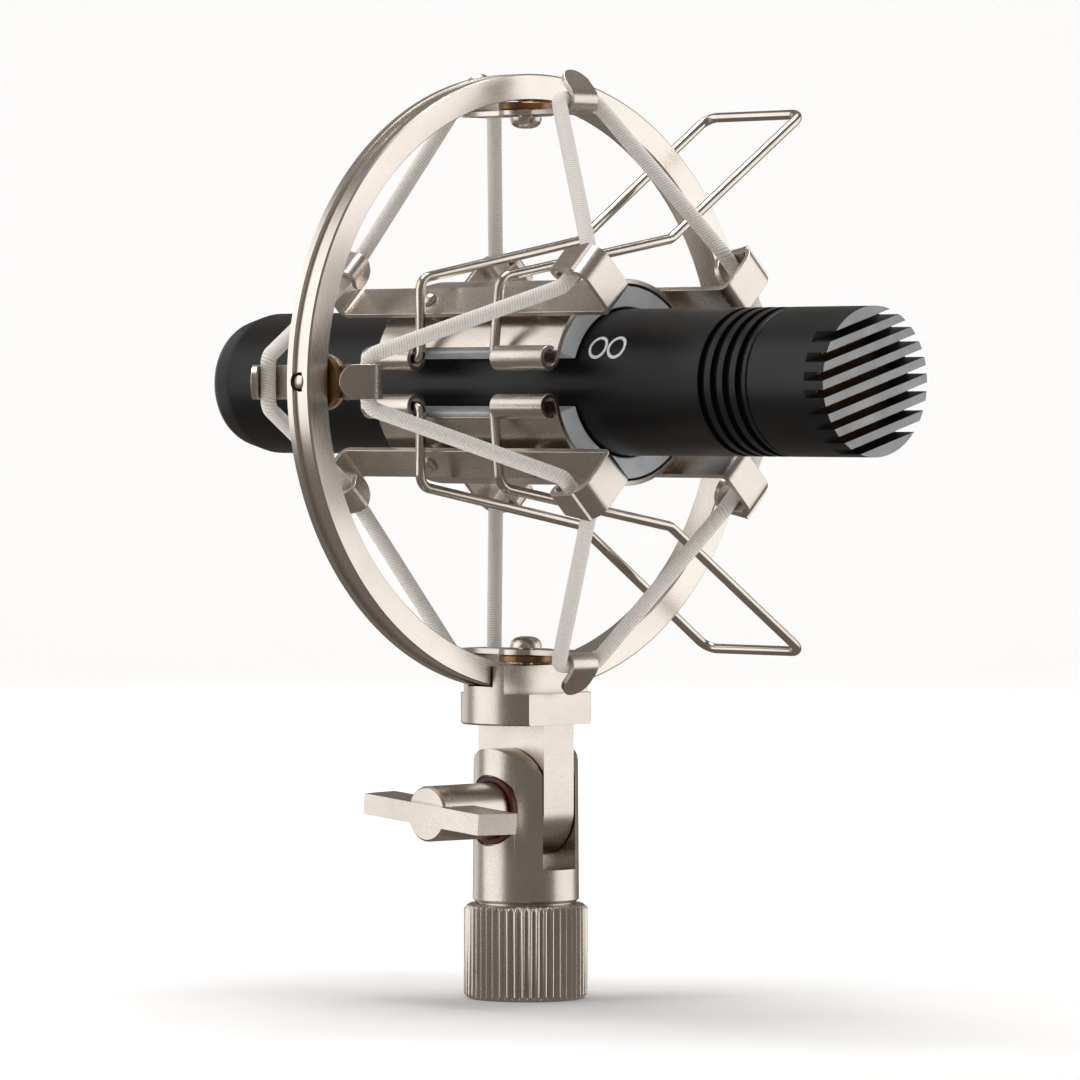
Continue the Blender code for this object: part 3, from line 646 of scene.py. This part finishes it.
def make_wing_nut():
    """Round hub with a flat bar across its outer end, standing a little proud of the hub."""
    nut = lathe(
        "wing_hub",
        [(PIVOT_BORE_R, -8.2), (4.4, -8.2), (4.7, -8.5), (4.65, -22.7), (4.3, -23.05), (0, -23.05),
         (0, -20.6), (PIVOT_BORE_R, -20.6)],
        PIVOT, "satin_nickel", 128,
    )
    turn = math.radians(WING_TURN)
    length, height = (0, math.cos(turn), math.sin(turn)), (0, -math.sin(turn), math.cos(turn))
    wing = place((0, 0, PIVOT_Z), length, (1, 0, 0), height)
    paddle = prism("paddle", WING_OUTLINE, -WING_HALF_THICK, WING_HALF_THICK, wing, "satin_nickel")
    boolean(paddle, cylinder("bolt_room", 3.3, -20.8, -10, PIVOT, 64))
    boolean(nut, paddle, "UNION")
    stand_in(edge_break(nut, 0.3, 3), "wing_nut")


def make_stem():
    """Block that holds the ring between two walls, and the tongue below it."""
    stem = lathe("stem", [(0, BLOCK_BOTTOM), (BLOCK_R - 0.3, BLOCK_BOTTOM), (BLOCK_R, BLOCK_BOTTOM + 0.3),
                          (BLOCK_R, WALL_TOP), (0, WALL_TOP)], WORLD, "satin_nickel", 144)
    for side in (-1, 1):
        boolean(stem, box("flat", (-15, 15), sorted((side * BLOCK_FLAT, side * 20)), (40, 60)))
        boolean(stem, box("wall_cut", (-15, 15), sorted((side * WALL_HALF, side * 20)), (SEAT_Z, 60)))
    half = RING_HALF + 0.3
    boolean(stem, cylinder("ring_slot", RING_OUT + 0.2, -half, half, ALONG_MIC, 360))
    outline = [(-TONGUE_R, 48), *arc((0, PIVOT_Z), TONGUE_R, 180, 360, 60), (TONGUE_R, 48)]
    boolean(stem, prism("tongue", outline, -TONGUE_HALF, TONGUE_HALF, THROUGH_X), "UNION")
    boolean(stem, cylinder("bore", PIVOT_BORE_R, -12, 12, PIVOT, 48))
    boolean(stem, cylinder("screw_hole", 1.55, 48, 60, WORLD, 32))
    stand_in(edge_break(stem, 0.35, 3), "ring_stem")


# ---------------------------------------------------------------- suspension ring and its hooks
def make_ring():
    """Turned ring: broken edges, and a groove between two rims on its outer face."""
    rim, depth, soft = 1.6, 0.6, 0.18
    half = [(RING_IN, -RING_HALF + soft), (RING_IN + soft, -RING_HALF), (RING_OUT - soft * 1.5, -RING_HALF),
            (RING_OUT, -RING_HALF + soft * 1.5), (RING_OUT, -RING_HALF + rim - 0.1),
            (RING_OUT - 0.1, -RING_HALF + rim), (RING_OUT - depth, -RING_HALF + rim + 0.08)]
    profile = half + [(r, -h) for r, h in reversed(half)]
    ring = lathe("ring", profile, ALONG_MIC, "ring_nickel", 360)
    for degrees in HOOK_ANGLES.values():
        boolean(ring, cylinder("hole", 1.6, RING_IN - 3, RING_OUT + 3, radial(degrees), 48))
    stand_in(ring, "suspension_ring")


def make_hook_plate(side, degrees):
    """Sheet-metal double hook, its spacer disc and its cross-head screw."""
    mid = PLATE_IN + PLATE_THICK / 2
    bend = CORD_R + PLATE_THICK / 2 + 0.2
    centre = (HOOK_CORD_Y, mid + bend)
    slope = Vector(HOOK_TIP) - Vector(centre)
    touch = math.degrees(math.atan2(slope.y, slope.x) + math.acos(bend / slope.length))
    curl = arc(centre, bend, touch, 270, 24)
    stations = round_tip(HOOK_TIP, curl[0], HOOK_ARM) + [(*p, HOOK_ARM) for p in curl]
    neck = math.sqrt(SPACER_R**2 - HOOK_ARM**2) + 0.15
    stations += [(-9.0, mid, HOOK_ARM), (-5.2, mid, HOOK_ARM + 0.1)]
    stations += [(-v, mid, math.sqrt(SPACER_R**2 - v**2)) for v in (neck, 3.2, 2.6, 1.9, 1.0, 0.3)]
    stations += [(-v, w, h) for v, w, h in reversed(stations)]
    where = radial(degrees)
    plate = strip(f"hook_{side}", stations, PLATE_THICK, where, "satin_nickel")
    boolean(plate, cylinder("hole", 1.5, 43, 47, where, 32))
    stand_in(edge_break(plate, 0.14), f"hook_plate_{side}")

    rim = [(4.45, 46.0), (SPACER_R, 46.15), (SPACER_R, 47.05), (4.45, 47.2)]
    spacer = lathe(f"spacer_{side}", [(1.6, 46.0), *rim, (1.6, 47.2)], where, "bronze", 80)
    stand_in(spacer, f"hook_spacer_{side}")

    if side == "bottom":
        end = [(1.3, 53.4), (0, 53.5)]
    else:
        end = [(1.3, 50.9), (1.15, 51.2), (1.12, 51.6), (0.85, 51.8), (0, 51.88)]
    head = [(0, 42.82), (0.9, 42.86), (1.8, 43.1), (2.4, 43.55), (2.66, 44.2), (2.7, 44.75)]
    screw = lathe(f"cross_screw_{side}", [*head, (1.3, 44.8), *end], where, "satin_nickel", 64)
    for a, b in ((1.35, 0.3), (0.3, 1.35)):
        boolean(screw, box("recess", (-a, a), (-b, b), (42, 43.9), where))
    stand_in(edge_break(screw, 0.05), f"hook_screw_{side}")


# ---------------------------------------------------------------- cradle
def sheet_outline(line, thickness):
    """The closed outline of a sheet that follows a middle line."""
    line = [Vector(p) for p in line]
    sides = ([], [])
    for k, p in enumerate(line):
        run = (line[min(k + 1, len(line) - 1)] - line[max(k - 1, 0)]).normalized()
        normal = Vector((-run.y, run.x)) * thickness / 2
        sides[0].append(p + normal)
        sides[1].append(p - normal)
    return sides[0] + sides[1][::-1]


def make_clamp():
    """Spring shell with rolled knuckles at its open edges, and the rubber liner inside it."""
    lean = math.degrees(math.atan2(KNUCKLE[1], -KNUCKLE[0]))
    upper = arc(KNUCKLE, KNUCKLE_R, -lean - 290, -lean, 36)
    body = arc((0, 0), (SHELL_IN + SHELL_OUT) / 2, 180 - lean - 2, -180 + lean + 2, 140)
    line = upper + body + [(a, -b) for a, b in reversed(upper)]
    shell = prism("shell", sheet_outline(line, SHEET), SHELL_FRONT, SHELL_REAR, SIDE, "satin_nickel")
    for side in (-1, 1):
        curl, edge = sorted((side * 2.0, side * 9.0)), sorted((side * 1.5, side * 5.8))
        boolean(shell, box("curl_gap", (-22, -SHELL_IN - 0.35), curl, KNUCKLE_GAP, SIDE))
        boolean(shell, box("edge_gap", (-22, -14.0), edge, KNUCKLE_GAP, SIDE))
    stand_in(edge_break(shell, 0.12), "clamp_shell")

    end = 180 - LINER_OPENING
    outline = [*arc((0, 0), LINER_OUT, end, -end, 120), *arc((0, 0), LINER_IN, -end, end, 120)]
    liner = prism("liner", outline, SHELL_FRONT + 0.2, SHELL_REAR - 0.2, SIDE, "liner_rubber")
    stand_in(edge_break(liner, 0.3, 3), "clamp_liner")


def strip_stations():
    """Middle line of a cradle strip: a square hook at each end of a flat strip."""
    t = STRIP_THICK / 2
    low, high = STRIP_IN + t, HOOK_R - t
    bend_radii, bend_steps = [0, 1.2, 2.5, 1.4, 0], 10
    stations = []
    for sign, end in ((-1, STRIP_FRONT), (1, STRIP_REAR)):
        wall, back = end - sign * t, end - sign * (RETURN_LENGTH - 0.4)
        tip = (end - sign * 6.4, high - 4.9)
        path = rounded([tip, (back, high), (wall, high), (wall, low), (0, low)], bend_radii, bend_steps)
        fold = bend_steps + 1
        half = round_tip(tip, path[1], HOOK_HALF) + [(p.x, p.y, HOOK_HALF) for p in path[1:fold // 2]]
        half += [(p.x, p.y, HOOK_HALF + 0.05) for p in path[fold // 2:fold + 1]]
        wide = path[fold + 1:-1]
        half.append((wide[0].x + sign * 0.9, wide[0].y, STRIP_WIDTH / 2))
        stations.append(half + [(p.x, p.y, STRIP_WIDTH / 2) for p in wide[1:]])
    return stations[0] + stations[1][::-1]


def make_strip(corner, degrees):
    """One cradle strip and the two domed rivets that hold it to the shell."""
    where = radial(degrees)
    obj = strip(f"strip_{corner}", strip_stations(), STRIP_THICK, where, "satin_nickel")
    top = STRIP_IN + STRIP_THICK
    for end, y in zip(("rear", "front"), RIVET_Y):
        spot = radial(degrees, y)
        boolean(obj, cylinder("hole", 1.1, 18, 20, spot, 24))
        angles = [math.radians(a) for a in range(0, 90, 10)]
        dome = [(1.68 * math.cos(a), top + 0.05 + 1.1 * math.sin(a)) for a in angles]
        rivet = lathe(
            f"rivet_head_{corner}_{end}",
            [(0, SHELL_OUT + 0.1), (RIVET_R, SHELL_OUT + 0.1), (RIVET_R, STRIP_IN - 0.1),
             (0.9, STRIP_IN - 0.1), (0.9, top + 0.05), *dome, (0, top + 1.15)],
            spot, "satin_nickel", 40,
        )
        stand_in(rivet, f"rivet_{corner}_{end}")
    stand_in(edge_break(obj, 0.13), f"cradle_strip_{corner}")


def rib(distance, turn):
    """The braid's slanting ribs: distance along the cord, and turn round it from 0 to 1."""
    wave = 0.5 + 0.5 * math.cos(2 * math.pi * (distance / RIB_PITCH + RIB_STARTS * turn))
    return 1 - RIB_DEPTH + RIB_DEPTH * wave ** 0.7


def make_elastic(name, side):
    """One elastic loop as eight stretches, each from the middle of a ring hook to a cradle hook."""
    ring_y = -side * HOOK_CORD_Y
    cradle_y = (STRIP_FRONT if side < 0 else STRIP_REAR) - side * CRADLE_CORD_INSET
    ring_r = PLATE_IN + PLATE_THICK + CORD_R + 0.2
    hook_half, bend, blend_inset = 4.2, 2.2, 0.16
    for step in range(8):
        whole = []
        for turn, first in ((step, True), (step + 1, False)):
            where = radial(90 + 45 * turn)
            y, r = (cradle_y, CRADLE_CORD_R) if turn % 2 else (ring_y, ring_r)
            ends = (0.0, -hook_half) if first else (hook_half, 0.0)
            whole += [where(s, y, r) for s in ends]
        line = rounded(whole, [0, bend, bend, 0], 10)
        piece = tube(f"{name}_{step + 1}", even_steps(line, RIB_PITCH / 4.5), CORD_R, 24, "elastic", rib)
        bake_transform(piece)
        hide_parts(name)


def make_handle(name, sign):
    """Spring wire lever: its ends sit in the knuckles and its loop reaches past the ring."""
    x, z = KNUCKLE
    legs = []
    for y_end, y_leg, y_bend, y_kink, y_top in ((13.5, 6.6, 7.4, 8.8, 9.2),
                                                (-18.5, -11.1, -12.0, -13.3, -13.7)):
        legs.append([(x, y_end, z), (x, y_leg, z), (-17.5, y_bend, 17.4), (21.3, y_kink, 24.4),
                     (53.0, y_top, 46.4)])
    path = legs[0] + legs[1][::-1]
    radii = [0, 1.3, 2.6, 3.0, 2.4, 2.4, 3.0, 2.6, 1.3, 0]
    points = [(a, b, RING_HEIGHT + sign * c) for a, b, c in rounded(path, radii, 12)]
    stand_in(tube(f"{name}_wire", points, WIRE_R, 24, "wire_nickel"), name)


# ---------------------------------------------------------------- microphone
def make_head():
    """Slotted head: black sides, paler bar fronts."""
    floor = MIC_FRONT + BAR_DEPTH
    head = lathe(
        "head",
        [(0, MIC_FRONT), (MIC_R, MIC_FRONT), (MIC_R, HEAD_SEAM), (11.6, HEAD_SEAM),
         (11.6, HEAD_SEAM + 0.2), (SPIGOT_R, HEAD_SEAM + 0.2), (SPIGOT_R, -57.5), (10.1, -57.5),
         (10.1, -74.0), (9.3, -75.0), (9.3, floor), (0, floor)],
        ALONG_MIC, "grille_grey", 160,
    )
    t = math.radians(BAR_TURN)
    along, across = (math.cos(t), 0, math.sin(t)), (-math.sin(t), 0, math.cos(t))
    turned = place((0, 0, RING_HEIGHT), along, across, (0, 1, 0))
    for k in range(BAR_SLOTS):
        middle = (k - (BAR_SLOTS - 1) / 2) * BAR_PITCH
        boolean(head, box("slot", (-16, 16), (middle - BAR_SLOT / 2, middle + BAR_SLOT / 2),
                          (MIC_FRONT - 1, floor + 0.05), turned))
    edge_break(head, 0.16, 2)
    head.data.materials.append(MATERIALS["grille_front"])
    for polygon in head.data.polygons:
        if polygon.normal.y < -0.9 and polygon.center.y / MM < MIC_FRONT + 0.1:
            polygon.material_index = 1
    stand_in(head, "head_grille")


def make_screen():
    """Woven copper screen, a shallow dome just behind the bars."""
    pitch, weave, sides = SCREEN_PITCH, 0.1, 5
    points, faces = [], []
    count = int(SCREEN_R / pitch)
    for direction in (0, 1):
        for line in range(-count, count + 1):
            offset = line * pitch
            half = math.sqrt(SCREEN_R**2 - offset**2)
            steps = max(2, int(2 * half / (pitch / 2)))
            first = len(points)
            for k in range(steps + 1):
                along = -half + 2 * half * k / steps
                crossing = math.cos(math.pi * along / pitch) * (1 if (line + direction) % 2 else -1)
                dome = SCREEN_RISE * (1 - (along**2 + offset**2) / SCREEN_R**2)
                depth = SCREEN_Y + weave * crossing - dome + SCREEN_RISE
                for s in range(sides):
                    t = 2 * math.pi * s / sides
                    across = offset + SCREEN_WIRE_R * math.cos(t)
                    a, b = (along, across) if direction else (across, along)
                    points.append(SIDE(a, b, depth + SCREEN_WIRE_R * math.sin(t)))
            for k in range(steps):
                for s in range(sides):
                    u = (s + 1) % sides
                    ring = first + k * sides
                    faces.append([ring + s, ring + u, ring + sides + u, ring + sides + s])
    stand_in(add_object("woven_screen", points, faces, "copper_mesh", 80), "mesh_screen")


def make_barrel():
    """Black tube with four turned grooves behind the head's joint, and the copper set screw."""
    outer = [(MIC_R - 0.1, HEAD_SEAM + 0.3), (MIC_R, HEAD_SEAM + 0.45)]
    steps = ((0.0, GROOVE_HALF), (0.08, GROOVE_HALF - 0.08), (GROOVE_DEPTH, GROOVE_HALF - 0.14))
    for y in reversed(GROOVES):
        outer += [(MIC_R - depth, y - half) for depth, half in steps]
        outer += [(MIC_R - depth, y + half) for depth, half in reversed(steps)]
    barrel = lathe("tube", [*outer, (MIC_R, MIC_SEAM - 0.1), (MIC_R - 0.1, MIC_SEAM),
                            (BORE_R, MIC_SEAM), (BORE_R, HEAD_SEAM + 0.3)],
                   ALONG_MIC, "black_anodised", 200)
    spot = place((0, MIC_SEAM - 4.5, RING_HEIGHT), (0, 1, 0), (0, 0, 1), (-1, 0, 0))
    boolean(barrel, cylinder("hole", 1.25, 9, 14, spot, 40))
    smooth(barrel, 30)
    # The groove walls and floors take the near-black matte finish: painted shade in the turned grooves
    barrel.data.materials.append(MATERIALS["groove_painted_shade"])
    for polygon in barrel.data.polygons:
        centre = polygon.center / MM
        r = math.hypot(centre.x, centre.z - RING_HEIGHT)
        if BORE_R < r < MIC_R - 0.2 and centre.y < GROOVES[0] + 1:
            polygon.material_index = 1
    stand_in(barrel, "barrel")
    foot = SPIGOT_R + 0.2
    screw = lathe("grub_screw", [(0, foot), (1.05, foot), (1.05, 11.7), (0.95, 11.85), (0, 11.9)],
                  spot, "copper_mesh", 40)
    boolean(screw, prism("socket", arc((0, 0), 0.55, 0, 300, 5), 11.3, 13, spot))
    stand_in(screw, "tail_set_screw")


def make_tail():
    """Tail sleeve, the connector's moulded insert and its three round-tipped pins."""
    seam, end = MIC_SEAM, MIC_TAIL
    taper = [(MIC_R - depth, end - before) for depth, before in
             ((0.04, 6.0), (0.28, 4.9), (1.0, 1.9), (1.2, 1.2), (1.5, 0.6), (2.0, 0.15), (2.6, 0.0))]
    sleeve = lathe(
        "sleeve",
        [(MIC_R - 0.1, seam + 0.3), (MIC_R, seam + 0.4), (MIC_R, end - 6.6), *taper, (8.5, end),
         (8.2, end - 0.3), (8.2, end - 12.5), (9.6, end - 12.5), (9.6, seam - 7), (SPIGOT_R, seam - 7),
         (SPIGOT_R, seam + 0.3)],
        ALONG_MIC, "black_anodised", 200,
    )
    stand_in(sleeve, "tail_sleeve")
    insert = lathe("pin_carrier",
                   [(0, end - 18), (9.3, end - 18), (9.3, end - 12.8), (7.9, end - 12.8),
                    (7.9, end - 12.2), (7.7, end - 12), (0, end - 12)],
                   ALONG_MIC, "black_plastic", 96)
    pin_r, pin_centres = 1.15, ((3.5, 2.0), (-3.5, 2.0), (0.0, -4.0))
    for number, (x, z) in enumerate(pin_centres, 1):
        axis = place((x, 0, RING_HEIGHT + z), (1, 0, 0), (0, 0, 1), (0, 1, 0))
        boolean(insert, cylinder("hole", 1.35, end - 24, end - 8, axis, 32))
        angles = [math.radians(a) for a in range(0, 90, 15)]
        tip = [(pin_r * math.cos(a), end - 2.6 + 0.9 * math.sin(a)) for a in angles]
        pin = lathe(f"contact_pin_{number}",
                    [(0, end - 20), (0.8, end - 20), (pin_r, end - 19.6), *tip, (0, end - 1.7)],
                    axis, "silver_pin", 48)
        stand_in(pin, f"xlr_pin_{number}")
    stand_in(edge_break(insert, 0.1), "xlr_insert")


def make_mark():
    """Printed figure-of-eight pickup symbol: two touching rings, wrapped on the barrel."""
    low = MIC_R + 0.015
    high = low + MARK_RAISED
    inner, outer = MARK_R - MARK_HALF_LINE, MARK_R + MARK_HALF_LINE

    def wrap(a, b, r):
        """a runs along the microphone, b round it, both in millimetres from the mark's centre."""
        t = math.radians(MARK_ANGLE) - b / MIC_R
        return SIDE(r * math.cos(t), r * math.sin(t), MARK_Y + a)

    points, faces, steps = [], [], 64
    for sign in (-1, 1):
        first, middle = len(points), sign * (outer + 0.08)
        for k in range(steps):
            t = 2 * math.pi * k / steps
            for line, r in ((inner, low), (outer, low), (outer, high), (inner, high)):
                points.append(wrap(middle + line * math.cos(t), line * math.sin(t), r))
        for k in range(steps):
            m = (k + 1) % steps
            for s in range(4):
                t = (s + 1) % 4
                faces.append([first + 4 * k + s, first + 4 * k + t, first + 4 * m + t, first + 4 * m + s])
    mark = add_object("pattern_mark", points, faces, "white_ink")
    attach(mark, "microphone")


# ---------------------------------------------------------------- inner parts that keep their CAD shape
def finish_inner_nodes():
    for node in ("motor_yoke", "magnet_left", "magnet_right", "ribbon", "ribbon_clamp_top",
                 "ribbon_clamp_bottom", "transformer", "circuit_board"):
        for slot in frame["nodes"][node].material_slots:
            slot.material = MATERIALS[SLOT_OF[node]]


# ---------------------------------------------------------------- studio
VIEW_FROM = Vector((-822.0, -855.0, 100.5))
VIEW_AT = Vector((-1.5, -5.0, 77.5))
LENS = 234.0
TO_CAMERA = Vector((VIEW_FROM.x, VIEW_FROM.y, 0)).normalized()
TO_RIGHT = Vector((-TO_CAMERA.y, TO_CAMERA.x, 0))


def make_camera():
    data = bpy.data.cameras.new("camera")
    camera = bpy.data.objects.new("camera", data)
    bpy.context.scene.collection.objects.link(camera)
    camera.location = VIEW_FROM * MM
    camera.rotation_euler = (VIEW_AT - VIEW_FROM).to_track_quat("-Z", "Y").to_euler()
    data.sensor_width, data.lens = 36.0, LENS
    data.clip_start, data.clip_end = 0.01, 20.0
    bpy.context.scene.camera = camera


def spot_at(degrees, distance, height):
    """A place round the object, in metres: degrees to the right of the camera's side."""
    t = math.radians(degrees)
    return (TO_CAMERA * math.cos(t) + TO_RIGHT * math.sin(t)) * distance + Vector((0, 0, height))


def soft_light(name, spot, target, size, radiance, colour=(1, 1, 1)):
    """A soft box: a large rectangle of even, low brightness that the camera doesn't see."""
    data = bpy.data.lights.new(name, "AREA")
    data.shape, data.size, data.size_y = "RECTANGLE", size[0], size[1]
    data.energy, data.color = radiance * math.pi * size[0] * size[1], colour
    light = bpy.data.objects.new(name, data)
    bpy.context.scene.collection.objects.link(light)
    light.location = spot
    light.rotation_euler = (Vector(target) - Vector(spot)).to_track_quat("-Z", "Y").to_euler()
    light.visible_camera = False
    return light


def make_studio():
    """Round white cyclorama, soft boxes at the sides, and a dim camera side, where the paper's colour is
    painted darker as painted shade.

    The sweep and the front fill stay out of glossy reflections, so that the nickel shows the soft
    boxes against a dim room.
    """
    wall, bend, top, around = 2200.0, 800.0, 2500.0, 96
    profile = [(700, 0), (wall - bend, 0)]
    profile += [(wall - bend + bend * math.sin(t), bend - bend * math.cos(t))
                for t in (math.radians(a) for a in range(6, 91, 6))]
    profile.append((wall, top))
    points = [(r * math.cos(t), r * math.sin(t), h) for r, h in profile
              for t in (2 * math.pi * k / around for k in range(around))]
    faces = [[around * j + k, around * j + (k + 1) % around,
              around * (j + 1) + (k + 1) % around, around * (j + 1) + k]
             for j in range(len(profile) - 1) for k in range(around)]
    sweep = add_object("studio_sweep", points, [list(range(around)), *faces])
    paper = Finish("studio_paper", (0.84, 0.84, 0.84), 0.0, 0.9)
    ahead = paper.node("VectorMath", operation="DOT_PRODUCT")
    ahead.inputs[1].default_value = TO_CAMERA
    paper.link(paper.coords.outputs["Object"], ahead.inputs[0])
    dim_from, dim_to = 0.6, 1.5
    # Painted shade: the paper's colour grows darker towards the camera side, standing in for a dim side of
    # the room
    camera_side_painted_shade = paper.remap(ahead.outputs["Value"], 0, 1, dim_from, dim_to)
    paper.colours(camera_side_painted_shade, (0.0, (0.85, 0.85, 0.85)), (1.0, (0.25, 0.24, 0.23)))
    paper.roughness(paper.noise(14, 3), 0.85, 0.95)
    sweep.data.materials.append(paper.material)
    smooth(sweep, 60)
    sweep.visible_glossy = False

    world = bpy.data.worlds.new("studio")
    world.use_nodes = True
    background = world.node_tree.nodes["Background"]
    background.inputs["Color"].default_value = (1.0, 0.9, 0.82, 1)
    background.inputs["Strength"].default_value = 0.18
    bpy.context.scene.world = world

    centre = Vector((0, 0, RING_HEIGHT * MM))
    soft_light("box_left", spot_at(-78, 1.1, 0.5), centre, (1.3, 1.5), 1.35)
    soft_light("box_rear_left", spot_at(-142, 1.2, 0.2), centre, (0.8, 0.8), 0.7)
    soft_light("box_right", spot_at(97, 1.1, 0.2), centre, (1.3, 0.9), 1.2)
    fill = soft_light("front_fill", spot_at(12, 1.4, 0.5), centre, (1.2, 1.0), 0.9)
    fill.visible_glossy = False
    soft_light("top", Vector((0.0, 0.0, 1.6)), centre, (0.8, 0.8), 6.0)
    soft_light("backdrop", spot_at(180, 0.6, 1.9), spot_at(180, 2.2, 0.3), (1.6, 0.6), 8.0)


def main():
    bpy.context.scene.view_settings.view_transform = "Standard"
    make_camera()
    make_studio()
    make_collar()
    make_fork()
    make_pivot()
    make_wing_nut()
    make_stem()
    make_ring()
    for side, degrees in HOOK_ANGLES.items():
        make_hook_plate(side, degrees)
    make_clamp()
    for corner, degrees in CORNERS.items():
        make_strip(corner, degrees)
    make_elastic("front_elastic", -1)
    make_elastic("rear_elastic", 1)
    make_handle("upper_handle", 1)
    make_handle("lower_handle", -1)
    make_head()
    make_screen()
    make_barrel()
    make_tail()
    make_mark()
    finish_inner_nodes()


main()
bpy.context.view_layer.update()
